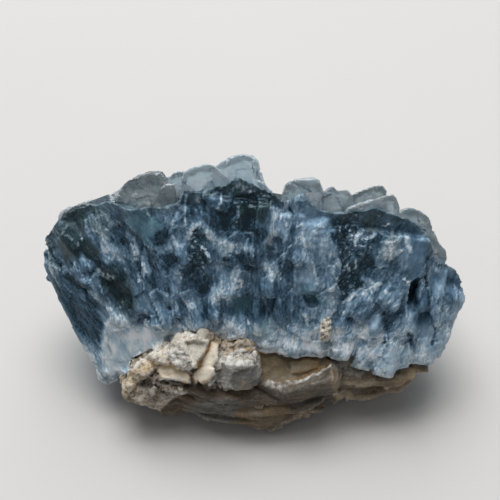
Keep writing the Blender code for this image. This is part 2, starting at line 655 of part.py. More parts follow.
def main():
    clear_scene()
    chance = random.Random(SEED)
    noise.seed_set(SEED)
    scene_collection = bpy.context.scene.collection

    growth = helper_collection("growth")
    grow_columns(growth, chance)
    grow_foot_blocks(growth, chance)
    grow_blades(growth, chance)
    grow_tips(growth, chance)
    grow_back_rows(growth, chance)
    pits = helper_collection("pits")
    make_pits(pits, chance)
    stones = helper_collection("stones")
    make_stones(stones, chance)
    hollows = helper_collection("hollows")
    make_hollows(hollows)

    rock = make_rock(scene_collection)
    add_boolean(rock, "UNION", stones)
    add_boolean(rock, "DIFFERENCE", hollows)
    settle(rock)

    crystals = make_heart(scene_collection)
    cutters = helper_collection("cutters")
    add_boolean(crystals, "UNION", growth)
    add_boolean(crystals, "DIFFERENCE", pits)
    add_boolean(crystals, "DIFFERENCE", seat_cutter(rock, cutters))
    settle(crystals)

    for collection in (growth, pits, stones, hollows, cutters):
        hide_helpers(collection)
    centre_on_origin([rock, crystals])
    crystals.data.materials.clear()
    crystals.data.materials.append(make_material("celestite", CRYSTAL_COLOUR, 0.25))
    rock.data.materials.clear()
    rock.data.materials.append(make_material("rock", ROCK_COLOUR, 0.85))


main()
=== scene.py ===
# Celestite crystal cluster: the looks. Lengths are in millimetres here and become metres in the meshes.
import math
import random

import bpy
import bmesh
import numpy as np
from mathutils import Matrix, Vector, noise


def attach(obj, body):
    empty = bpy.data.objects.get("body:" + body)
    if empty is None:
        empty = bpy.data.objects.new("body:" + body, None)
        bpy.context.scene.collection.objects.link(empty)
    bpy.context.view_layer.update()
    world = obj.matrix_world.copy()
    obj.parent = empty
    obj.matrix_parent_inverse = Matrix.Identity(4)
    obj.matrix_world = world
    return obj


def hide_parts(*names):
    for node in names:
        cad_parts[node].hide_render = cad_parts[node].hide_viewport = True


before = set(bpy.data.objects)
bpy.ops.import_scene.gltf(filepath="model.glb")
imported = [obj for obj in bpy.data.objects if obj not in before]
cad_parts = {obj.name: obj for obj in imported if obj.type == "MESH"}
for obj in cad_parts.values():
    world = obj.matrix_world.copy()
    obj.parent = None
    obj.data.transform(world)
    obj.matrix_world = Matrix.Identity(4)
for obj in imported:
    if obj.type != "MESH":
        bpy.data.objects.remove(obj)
for startName in ("Cube", "Light", "Camera"):  # what a new Blender file opens with
    if startName in bpy.data.objects:
        bpy.data.objects.remove(bpy.data.objects[startName])
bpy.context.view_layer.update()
noise.seed_set(11)
mm = 0.001
print("frame loaded")


# the camera; places on the rock and large areas of the break are given as it sees them
view = {"place": (-0.794, -318.9, 488.3), "tilt": 35.0, "angle": 10.4, "reach": 563.7}
viewPlace = np.array(view["place"])
viewTilt = math.radians(view["tilt"])
toCamera = np.array([0.0, -math.sin(viewTilt), math.cos(viewTilt)])
viewUp = np.array([0.0, math.cos(viewTilt), math.sin(viewTilt)])
planeFrom = 0.4  # flatten fits a plane to the points above this share, so a share that is asked for has to be higher


def frontView(points):  # across and up from the middle of the view, in millimetres
    away = points - viewPlace
    distance = away @ -toCamera
    return away[:, 0] / distance * view["reach"], away @ viewUp / distance * view["reach"]


def fromStretch(across, up, start, end):  # distance from a straight stretch between two places
    stepA, stepU = end[0] - start[0], end[1] - start[1]
    share = np.clip(((across - start[0]) * stepA + (up - start[1]) * stepU) / (stepA ** 2 + stepU ** 2), 0, 1)
    return np.hypot(across - start[0] - share * stepA, up - start[1] - share * stepU)


def nearLine(across, up, line):  # distance from a line of several places
    return np.minimum.reduce([fromStretch(across, up, *ends) for ends in zip(line, line[1:])])


def insideOutline(across, up, outline):  # how far inside an outline each place lies; negative outside
    inside = np.zeros(len(across), bool)
    for (startA, startU), (endA, endU) in zip(outline, outline[1:] + outline[:1]):
        between = (startU > up) != (endU > up)
        inside ^= between & (across < (endA - startA) * (up - startU) / ((endU - startU) or 1e-9) + startA)
    nearest = nearLine(across, up, outline + outline[:1])
    return np.where(inside, nearest, -nearest)


def flatten(points, weights):  # broken facets: each set of points is drawn to its own mean plane
    for weight in weights:
        terms, level = np.stack([*frontView(points), np.ones(len(points))], 1), (points - viewPlace) @ toCamera
        chosen = weight > planeFrom
        fit = np.linalg.lstsq(terms[chosen], level[chosen], rcond=None)[0]
        points = points + toCamera * (weight * (terms @ fit - level))[:, None]
    return points


# the break: a sloping face that turns away at both ends
breakFace = {
    "foot": (-0.22, -14.76, 17.0),
    "lean": 39.5,
    "leftAt": -20.0, "leftTurn": 25.0,
    "rightAt": 28.0, "rightTurn": -20.0,
    # lean of the growth from upright at places across the face
    "fan": [(-40, -33), (-26, -30), (-14, -17), (0, 0), (10, 3), (24, 33), (33, 16), (41, 10)],
    "fanRounds": 12,
    # the upper edge of the face: across, up
    "crest": [
        (-45.0, 12.0), (-43.0, 15.4), (-41.5, 17.5), (-39.7, 20.5), (-38.0, 22.8), (-35.5, 24.9), (-32.6, 26.4),
        (-29.7, 28.0), (-27.2, 28.5), (-24.0, 29.0), (-20.7, 30.7), (-17.7, 30.9), (-15.8, 31.3), (-14.4, 32.6),
        (-13.6, 34.9), (-12.8, 34.2), (-11.2, 34.0), (-9.4, 34.2), (-7.4, 35.1), (-5.6, 35.3), (-4.2, 36.5),
        (-2.6, 36.9), (-0.8, 36.1), (0.8, 35.1), (2.6, 34.5), (4.2, 33.4), (5.9, 32.0), (7.5, 32.4), (8.9, 33.4),
        (10.1, 33.6), (11.5, 31.5), (13.5, 30.5), (15.9, 29.9), (18.5, 29.7), (21.1, 30.1), (24.0, 30.7),
        (26.0, 30.5), (28.0, 29.3), (30.0, 28.2), (31.7, 27.3), (33.8, 25.2), (35.5, 22.6), (36.7, 19.3),
        (37.6, 16.5), (39.5, 15.4), (41.4, 13.8), (42.9, 10.6), (46.0, 6.0)],
}


def readTable(table, places):  # the value of a table of pairs at many places
    return np.interp(places, *zip(*table))


def sideAxes(at, turn):  # the columns are: across, up, out; and the point that they start from
    lean, turn = math.radians(breakFace["lean"]), math.radians(turn)
    level = np.array([-math.sin(turn), -math.cos(turn), 0.0]) * math.cos(lean)
    outward = level + np.array([0.0, 0.0, math.sin(lean)])
    axes = np.array([[1.0, -math.tan(turn), 0.0], [0.0, math.sin(lean), math.cos(lean)], outward]).T
    return axes, np.array(breakFace["foot"]) + np.array([0.0, at * math.tan(turn), 0.0])


faceSides = [sideAxes(0.0, 0.0), sideAxes(breakFace["leftAt"], breakFace["leftTurn"]),
             sideAxes(breakFace["rightAt"], breakFace["rightTurn"])]


def placeOnFace(across, up, out):  # a point of the break, in the frame
    axes, start = faceSides[1 if across < breakFace["leftAt"] else 2 if across > breakFace["rightAt"] else 0]
    return Vector(axes @ np.array([across, up, out]) + start)


def faceCoordinates(points):  # across, up and out of many points, and the outward direction there
    found = (points - faceSides[0][1]) @ np.linalg.inv(faceSides[0][0]).T
    outward = np.tile(faceSides[0][0][:, 2], (len(points), 1))
    for (axes, start), isBeyond in ((faceSides[1], lambda a: a < breakFace["leftAt"]),
                                    (faceSides[2], lambda a: a > breakFace["rightAt"])):
        there = (points - start) @ np.linalg.inv(axes).T
        beyond = isBeyond(there[:, 0])
        found[beyond] = there[beyond]
        outward[beyond] = axes[:, 2]
    return found, outward


def growthCoordinates(across, up):  # across at the foot of each point's streak, and the length along it
    foot = across.copy()
    for _ in range(breakFace["fanRounds"]):
        lean = np.radians(readTable(breakFace["fan"], foot))
        foot = 0.5 * foot + 0.5 * (across - np.tan(lean) * up)
    return foot, up / np.cos(lean)


# small tools
def smooth(low, high, value):
    share = np.clip((value - low) / (high - low), 0.0, 1.0)
    return share * share * (3 - 2 * share)


def blend(values, weight, aim):
    return values * (1 - weight) + weight * aim


def hashed(a, b, seed):  # a repeatable number from 0 to 1 for each cell
    mixed = (a.astype(np.int64) * 374761393 + b.astype(np.int64) * 668265263 + seed * 362437) & 0xFFFFFFFF
    mixed = ((mixed ^ (mixed >> 13)) * 1274126177) & 0xFFFFFFFF
    return ((mixed ^ (mixed >> 16)) & 0xFFFFFF) / 0xFFFFFF


cellMargin, cellRoom = 0.15, 0.7  # how near a cell's middle comes to its edges, and how far it can lie from there


def cells(u, v, seed):  # splinter cells: each point's offset from its cell's middle and three numbers of the cell
    nearest = np.full(len(u), 1e9)
    offsetU, offsetV, cellU, cellV = (np.zeros(len(u)) for _ in range(4))
    for stepU, stepV in np.ndindex(3, 3):
        thisU, thisV = np.floor(u) + stepU - 1, np.floor(v) + stepV - 1
        awayU = u - thisU - cellMargin - cellRoom * hashed(thisU, thisV, seed)
        awayV = v - thisV - cellMargin - cellRoom * hashed(thisU, thisV, seed + 1)
        away = awayU ** 2 + awayV ** 2
        closer = away < nearest
        nearest[closer] = away[closer]
        offsetU[closer], offsetV[closer] = awayU[closer], awayV[closer]
        cellU[closer], cellV[closer] = thisU[closer], thisV[closer]
    return offsetU, offsetV, [hashed(cellU, cellV, seed + k) for k in (2, 3, 4)]


def blocks(points, seed):  # cells in space: each point's offset from its cell's middle and four numbers of the cell
    base = np.floor(points)
    nearest = np.full(len(points), 1e9)
    offset, chosen = np.zeros_like(points), np.zeros_like(points)
    for step in np.ndindex(3, 3, 3):
        cell = base + np.array(step) - 1
        key = cell[:, 0] + 57 * cell[:, 2]
        jitter = np.stack([hashed(key, cell[:, 1], seed + k) for k in range(3)], 1)
        away = points - cell - cellMargin - cellRoom * jitter
        length = (away ** 2).sum(1)
        closer = length < nearest
        nearest[closer], offset[closer], chosen[closer] = length[closer], away[closer], cell[closer]
    key = chosen[:, 0] + 57 * chosen[:, 2]
    return offset, [hashed(key, chosen[:, 1], seed + k) for k in (3, 4, 5, 6)]


def facets(points, size, seed):  # flat tilted faces, as on broken stone
    offset, own = blocks(points / size, seed)
    tilt = sum(offset[:, axis] * (own[axis + 1] - 0.5) * 2 for axis in range(3))
    return own[0] - 0.5 + tilt


def pits(across, up, seed, rim, middle, share):  # small holes in some of the cells
    offsetU, offsetV, own = cells(across, up, seed)
    return smooth(rim, middle, np.sqrt(offsetU ** 2 + offsetV ** 2)) * (own[0] > share)


def noiseAt(points, scale):
    return np.array([noise.noise(Vector(point) / scale) for point in points])


def makeActive(piece):
    bpy.ops.object.select_all(action="DESELECT")
    piece.select_set(True)
    bpy.context.view_layer.objects.active = piece


def applyModifiers(piece):
    makeActive(piece)
    for modifier in list(piece.modifiers):
        bpy.ops.object.modifier_apply(modifier=modifier.name)


def editMesh(piece, *steps):  # mesh tools on all of a piece
    makeActive(piece)
    bpy.ops.object.mode_set(mode="EDIT")
    bpy.ops.mesh.select_all(action="SELECT")
    for tool, settings in steps:
        tool(**settings)
    bpy.ops.object.mode_set(mode="OBJECT")


def linkObject(name, data):
    made = bpy.data.objects.new(name, data)
    bpy.context.scene.collection.objects.link(made)
    return made


def newPiece(name, points, faces):
    mesh = bpy.data.meshes.new(name)
    mesh.from_pydata([Vector(point) * mm for point in points], [], faces)
    return linkObject(name, mesh)


def copyOfNode(node, name):
    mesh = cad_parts[node].data.copy()
    mesh.name = name
    mesh.materials.clear()
    piece = linkObject(name, mesh)
    editMesh(piece, (bpy.ops.mesh.remove_doubles, {"threshold": 0.000002}))
    return piece


def keepLargest(piece):  # a remesh can leave crumbs
    shape = bmesh.new()
    shape.from_mesh(piece.data)
    waiting, bodies = set(shape.verts), []
    while waiting:
        start = waiting.pop()
        body, search = [start], [start]
        while search:
            for edge in search.pop().link_edges:
                for vert in edge.verts:
                    if vert in waiting:
                        waiting.discard(vert)
                        body.append(vert)
                        search.append(vert)
        bodies.append(body)
    bodies.sort(key=len)
    bmesh.ops.delete(shape, geom=[vert for body in bodies[:-1] for vert in body], context="VERTS")
    shape.to_mesh(piece.data)
    shape.free()


def remesh(piece, voxel):
    modifier = piece.modifiers.new("skin", "REMESH")
    modifier.mode, modifier.voxel_size = "VOXEL", voxel * mm
    applyModifiers(piece)
    keepLargest(piece)


def combine(piece, other, operation):  # the other piece is used up
    boolean = piece.modifiers.new(other.name, "BOOLEAN")
    boolean.operation, boolean.solver, boolean.object = operation, "EXACT", other
    applyModifiers(piece)
    bpy.data.objects.remove(other)


def readMesh(piece):
    count = len(piece.data.vertices)
    points, normals = np.zeros(count * 3), np.zeros(count * 3)
    piece.data.vertices.foreach_get("co", points)
    piece.data.vertices.foreach_get("normal", normals)
    return points.reshape(-1, 3) / mm, normals.reshape(-1, 3)


def writePoints(piece, points):
    piece.data.vertices.foreach_set("co", (points * mm).ravel())
    piece.data.update()


def writeAttributes(piece, **attributes):  # one number, or a number or a colour for each point
    for name, values in attributes.items():
        values = np.full(len(piece.data.vertices), values) if np.ndim(values) == 0 else values
        made = piece.data.attributes.new(name, "FLOAT" if values.ndim == 1 else "FLOAT_VECTOR", "POINT")
        made.data.foreach_set("value" if values.ndim == 1 else "vector", values.astype(np.float32).ravel())


def dress(piece, material):
    makeActive(piece)
    bpy.ops.object.shade_smooth()
    piece.data.materials.append(material)


def edgeEnds(piece):
    ends = np.zeros(len(piece.data.edges) * 2, np.int64)
    piece.data.edges.foreach_get("vertices", ends)
    return np.concatenate([ends[0::2], ends[1::2]]), np.concatenate([ends[1::2], ends[0::2]])


def neighbourMean(points, ends):
    count = np.bincount(ends[0], minlength=len(points))
    return np.stack([np.bincount(ends[0], points[ends[1], axis], len(points)) / count for axis in range(3)], 1)


def bulge(piece):  # how far each point stands out of its neighbours, and the normals
    points, normals = readMesh(piece)
    return ((points - neighbourMean(points, edgeEnds(piece))) * normals).sum(1), normals


def rounded(piece, points, weight, rounds):  # draws points towards their neighbours
    ends = edgeEnds(piece)
    for _ in range(rounds):
        points = points + 0.5 * weight[:, None] * (neighbourMean(points, ends) - points)
    return points


# node helpers and the shared effects
def makeMaterial(name):
    material = bpy.data.materials.new(name)
    material.use_nodes = True
    return material, material.node_tree, material.node_tree.nodes["Principled BSDF"]


def fill(tree, node, inputs):  # by name or number: a number, a vector, a colour, or the output of a node
    for name, source in inputs.items():
        if isinstance(source, bpy.types.NodeSocket):
            tree.links.new(source, node.inputs[name])
        elif source is not None:
            isColour = node.inputs[name].type == "RGBA"
            node.inputs[name].default_value = (*source, 1.0) if isColour else source
    return node


def addNode(tree, kind, inputs, **settings):
    node = tree.nodes.new(kind)
    for name, value in settings.items():
        setattr(node, name, value)
    return fill(tree, node, inputs)


def makeGroup(name, numbers, outputs):  # a vector and numbers in, numbers out
    tree = bpy.data.node_groups.new(name, "ShaderNodeTree")
    tree.interface.new_socket("Vector", in_out="INPUT", socket_type="NodeSocketVector")
    for socketName, value in numbers.items():
        tree.interface.new_socket(socketName, in_out="INPUT", socket_type="NodeSocketFloat").default_value = value
    for socketName in outputs:
        tree.interface.new_socket(socketName, in_out="OUTPUT", socket_type="NodeSocketFloat")
    return tree, tree.nodes.new("NodeGroupInput").outputs, tree.nodes.new("NodeGroupOutput")


def addMath(tree, operation, first, second=None, third=None, clamp=False):
    inputs = {0: first, 1: second, 2: third}
    return addNode(tree, "ShaderNodeMath", inputs, operation=operation, use_clamp=clamp).outputs[0]


def addTimes(tree, first, second):
    return addMath(tree, "MULTIPLY", first, second)


def addMask(tree, mask, share):  # a product that stays from 0 to 1
    return addMath(tree, "MULTIPLY", mask, share, clamp=True)


def addSum(tree, first, share, second):  # first times share, plus second
    return addMath(tree, "MULTIPLY_ADD", first, share, second)


def addSwing(tree, source, share):  # a noise about its middle
    return addTimes(tree, addMath(tree, "SUBTRACT", source, 0.5), share)


def addVector(tree, operation, first, second=None, third=None, scale=None):
    inputs = {0: first, 1: second, 2: third, "Scale": scale}
    return addNode(tree, "ShaderNodeVectorMath", inputs, operation=operation).outputs["Vector"]


def addRange(tree, value, low, high, toLow=0.0, toHigh=1.0):
    inputs = {"Value": value, "From Min": low, "From Max": high, "To Min": toLow, "To Max": toHigh}
    return addNode(tree, "ShaderNodeMapRange", inputs).outputs["Result"]


def addMix(tree, share, first, second):
    return addNode(tree, "ShaderNodeMix", {0: share, 6: first, 7: second}, data_type="RGBA").outputs[2]


def addRamp(tree, value, stops):
    node = addNode(tree, "ShaderNodeValToRGB", {"Fac": value})
    first, last = node.color_ramp.elements
    first.position, first.color = stops[0][0], (*stops[0][1], 1.0)
    last.position, last.color = stops[-1][0], (*stops[-1][1], 1.0)
    for place, colour in stops[1:-1]:
        node.color_ramp.elements.new(place).color = (*colour, 1.0)
    return node.outputs["Color"]


def addAttribute(tree, name, output="Fac"):
    return addNode(tree, "ShaderNodeAttribute", {}, attribute_name=name).outputs[output]


def addNoise(tree, vector, scale, detail, roughness, distortion=0.0, output="Fac"):
    inputs = {"Vector": vector, "Scale": scale, "Detail": detail, "Roughness": roughness, "Distortion": distortion}
    return addNode(tree, "ShaderNodeTexNoise", inputs).outputs[output]


def addCells(tree, vector, scale):  # distance from each cell's middle, and the cell's own numbers
    node = addNode(tree, "ShaderNodeTexVoronoi", {"Vector": vector, "Scale": scale})
    return node.outputs["Distance"], addNode(tree, "ShaderNodeSeparateColor", {"Color": node.outputs["Color"]}).outputs


def addMapping(tree, vector, scale, turn=(0, 0, 0)):
    turn = [math.radians(angle) for angle in turn]
    return addNode(tree, "ShaderNodeMapping", {"Vector": vector, "Scale": scale, "Rotation": turn}).outputs["Vector"]


def addPlace(tree):  # the point's own place, in millimetres
    place = addNode(tree, "ShaderNodeTexCoord", {}).outputs["Object"]
    return addMapping(tree, place, (1 / mm, 1 / mm, 1 / mm))


def addGroup(tree, group, inputs):
    return addNode(tree, "ShaderNodeGroup", inputs, node_tree=group).outputs


def addBump(tree, height, distance, strength):
    inputs = {"Height": height, "Distance": distance * mm, "Strength": strength}
    return addNode(tree, "ShaderNodeBump", inputs).outputs["Normal"]


def streakEffect():  # fibres, splinters and short strokes along the second axis of the vector, in millimetres
    tree, given, out = makeGroup("crystalStreaks", {"Width": 0.35, "Length": 2.2},
                                 ("Fibres", "Shards", "Veins", "Strokes"))
    narrow, short = (addMath(tree, "DIVIDE", 1.0, given[name]) for name in ("Width", "Length"))
    scale = addNode(tree, "ShaderNodeCombineXYZ", {0: narrow, 1: short, 2: short}).outputs["Vector"]
    stretched = addVector(tree, "MULTIPLY", given["Vector"], scale)
    fibres = addNoise(tree, stretched, 1.0, 5.0, 0.68, 0.35)
    ridges = addNoise(tree, stretched, 0.7, 3.0, 0.6, 0.8)
    crease = addMath(tree, "ABSOLUTE", addMath(tree, "SUBTRACT", ridges, 0.5))
    # a bent copy of the vector, so that splinters and strokes aren't straight
    bend = addNoise(tree, stretched, 1.3, 2.0, 0.5, output="Color")
    bent = addVector(tree, "MULTIPLY_ADD", bend, (0.9, 0.9, 0.9), stretched)
    shards = addCells(tree, bent, 0.62)[1]["Red"]
    strokes = []
    for size, least in ((0.55, 0.45), (1.1, 0.55)):
        distance, own = addCells(tree, bent, size)
        chosen = addRange(tree, own["Green"], least, least + 0.25)
        strokes.append(addMask(tree, addRange(tree, distance, 0.34, 0.20), chosen))
    fill(tree, out, {"Fibres": fibres, "Shards": shards, "Veins": addRange(tree, crease, 0.035, 0.0),
                     "Strokes": addMath(tree, "MAXIMUM", *strokes)})
    return tree


def speckEffect():  # small hard flecks: pale grains in the rock, and on the crystal white specks, partly small fractures and partly painted glints
    tree, given, out = makeGroup("flecks", {"Size": 0.4, "Amount": 0.5}, ("Mask",))
    finer = addMath(tree, "DIVIDE", 1.0, given["Size"])
    grain = addNoise(tree, addVector(tree, "SCALE", given["Vector"], scale=finer), 1.0, 2.0, 0.7)
    line = addSum(tree, given["Amount"], -0.15, 0.70)
    fill(tree, out, {"Mask": addMask(tree, addMath(tree, "SUBTRACT", grain, line), 14.0)})
    return tree


streaks, flecks = streakEffect(), speckEffect()


def finishCrystal(tree, shader, look):  # clear by its transmission, IOR and absorption
    shader.inputs["Transmission Weight"].default_value = look["transmission"]
    shader.inputs["IOR"].default_value = look["ior"]
    inputs = {"Color": look["absorbColour"], "Density": look["absorbDensity"]}
    absorb = addNode(tree, "ShaderNodeVolumeAbsorption", inputs)
    tree.links.new(absorb.outputs["Volume"], tree.nodes["Material Output"].inputs["Volume"])


# broken celestite: colours and shader
brokenLook = {
    "blues": [(0.0, (0.010, 0.024, 0.037)), (0.16, (0.026, 0.058, 0.088)), (0.34, (0.064, 0.128, 0.200)),
              (0.54, (0.158, 0.270, 0.390)), (0.74, (0.36, 0.51, 0.64)), (0.90, (0.68, 0.79, 0.86)),
              (1.0, (0.93, 0.96, 0.98))],
    "greens": [(0.0, (0.010, 0.022, 0.026)), (0.22, (0.034, 0.066, 0.074)), (0.50, (0.135, 0.195, 0.215)),
               (0.75, (0.42, 0.50, 0.54)), (1.0, (0.90, 0.93, 0.94))],
    "teals": [(0.0, (0.010, 0.028, 0.038)), (0.3, (0.042, 0.110, 0.145)), (0.6, (0.15, 0.29, 0.37)),
              (0.8, (0.42, 0.58, 0.66)), (1.0, (0.88, 0.94, 0.96))],
    "fine": (0.36, 0.95), "broad": (1.6, 3.6),  # width and length of the streaks
    "sway": 0.90, "chips": 0.17, "wide": 0.70, "veins": 0.22,  # how far each moves the tone
    "grouped": (0.44, 0.62), "groupedStrokes": 0.20, "fleckedStrokes": 0.30,
    # the flecks' size and lift: white specks, partly small fractures and partly painted glints
    "fleckSize": 0.75, "fleckAndGlintLift": 0.46,
    "calming": -0.75,  # how much a calm place takes off the streaks
    "roughness": (0.22, 0.55), "shine": 0.32, "shineTint": (0.72, 0.90, 1.0),
    "shardHeight": 0.4, "veinHeight": 0.12, "bump": (0.20, 0.55),
    "transmission": 0.16, "ior": 1.62, "absorbColour": (0.20, 0.42, 0.56), "absorbDensity": 300.0,
}


def brokenMaterial():
    look = brokenLook
    material, tree, shader = makeMaterial("celestite broken")
    grow = addAttribute(tree, "grow", "Vector")
    tone, calm, flecked, greenShare, tealShare = (
        addAttribute(tree, name) for name in ("tone", "calm", "flecked", "green", "teal"))
    fine, broad = (addGroup(tree, streaks, {"Vector": grow, "Width": look[name][0], "Length": look[name][1]})
                   for name in ("fine", "broad"))
    lively = addSum(tree, calm, look["calming"], 1.0)
    sway, chips, wide = (addSwing(tree, source, share) for source, share in (
        (fine["Fibres"], look["sway"]), (fine["Shards"], look["chips"]), (broad["Fibres"], look["wide"])))
    # white fractures and strokes, in groups
    grouped = addRange(tree, broad["Fibres"], *look["grouped"])
    white = addTimes(tree, addTimes(tree, fine["Veins"], grouped), look["veins"])
    change = addMath(tree, "ADD", addMath(tree, "ADD", sway, chips), addMath(tree, "ADD", wide, white))
    value = addSum(tree, change, lively, tone)
    share = addSum(tree, flecked, look["fleckedStrokes"], addTimes(tree, grouped, look["groupedStrokes"]))
    value = addSum(tree, fine["Strokes"], addTimes(tree, share, lively), value)
    # painted glints: the flecks mask lifts the tone to white specks, partly small fractures and partly glints painted
    # into the colour
    mask = addGroup(tree, flecks, {"Vector": grow, "Size": look["fleckSize"], "Amount": flecked})["Mask"]
    value = addSum(tree, mask, addTimes(tree, flecked, look["fleckAndGlintLift"]), value)
    blue, green, teal = (addRamp(tree, value, look[name]) for name in ("blues", "greens", "teals"))
    height = addSum(tree, fine["Shards"], look["shardHeight"], fine["Fibres"])
    height = addTimes(tree, addSum(tree, fine["Veins"], look["veinHeight"], height), lively)
    fill(tree, shader, {
        "Base Color": addMix(tree, tealShare, addMix(tree, greenShare, blue, green), teal),
        "Roughness": addRange(tree, value, 0.0, 0.8, *look["roughness"]),
        "Specular IOR Level": look["shine"], "Specular Tint": look["shineTint"],
        "Normal": addBump(tree, height, *look["bump"])})
    finishCrystal(tree, shader, look)
    return material


# broken celestite: shape
mass = {
    "voxel": 0.40,
    "capLift": 0.15,        # how far above the crest the cut runs
    "capSlope": 0.8,        # how fast the mass falls away behind the crest
    "crestDepth": 1.4,      # how thick the crest is
    "wallEnds": 43.5, "wallHeight": (13.0, 0.6),
    "bigCell": (2.8, 6.5), "bigHeight": 0.55, "bigSlope": 0.40,
    "smallCell": (1.1, 2.4), "smallHeight": 0.20, "smallSlope": 0.25,
    "chipCell": (1.7, 1.4),
    "toneRelief": 0.45,     # pale patches stand proud and dark ones lie deep
    "levelTone": 0.4,       # the tone that neither stands proud nor lies deep
    "underside": 0.25,      # growth towards the rock
    "fill": 0.65,           # how much of a pit's depth is filled
    "slot": (32.6, 11.7, 4.5),  # the deep slot, which stays open: across, up, reach
    # the frosty foot: its upper edge, how soft that edge is, how often it is rounded, its strength, and its tone
    "rootLine": [(-45, -4.0), (-32, -4.0), (-29, 5.0), (-22, 6.0), (-12, 6.4), (-4, 6.6), (8, 6.2), (18, 6.2),
                 (30, 5.2), (45, 4.6)],
    "rootEdge": 2.4, "rootRounds": 26, "rootShare": 0.78, "rootTone": 0.92,
    "baseTone": 0.405, "sideTone": 0.46,
    # how far a tone changes from splinter to splinter: by the big ones, by the small ones
    "baseSpread": (0.16, 0.10), "areaSpread": (0.14, 0.10), "patchSpread": (0.16, 0.16),
    "smoothSpread": (0.08, 0.08), "markSpread": (0.0, 0.1),
    "areaEdge": (-0.5, 0.7),
    "crestTone": [(-42, 0.25), (-36, 0.2), (-30, 0.34), (-17, 0.34), (-14, 0.13), (4, 0.13), (7, 0.5), (19, 0.5),
                  (21, 0.2), (31, 0.2), (34, 0.32)],
    # how calm, how flecked and how green each kind of place is
    "areaKinds": {"blue": (0.1, 0.2, 0.05), "smooth": (0.75, 0.2, 0.05), "green": (0.45, 0.2, 0.85),
                  "speck": (0.1, 0.9, 0.3), "grey": (0.1, 0.5, 0.8)},
    "patchKinds": {"blue": (0.05, 0.1, 0.0), "smooth": (0.8, 0.1, 0.0), "green": (0.6, 0.1, 0.9),
                   "speck": (0.05, 1.0, 0.3), "grey": (0.05, 0.6, 0.7), "teal": (0.7, 0.1, 0.0)},
    "palest": 0.67,         # no patch is paler; the marks are
}

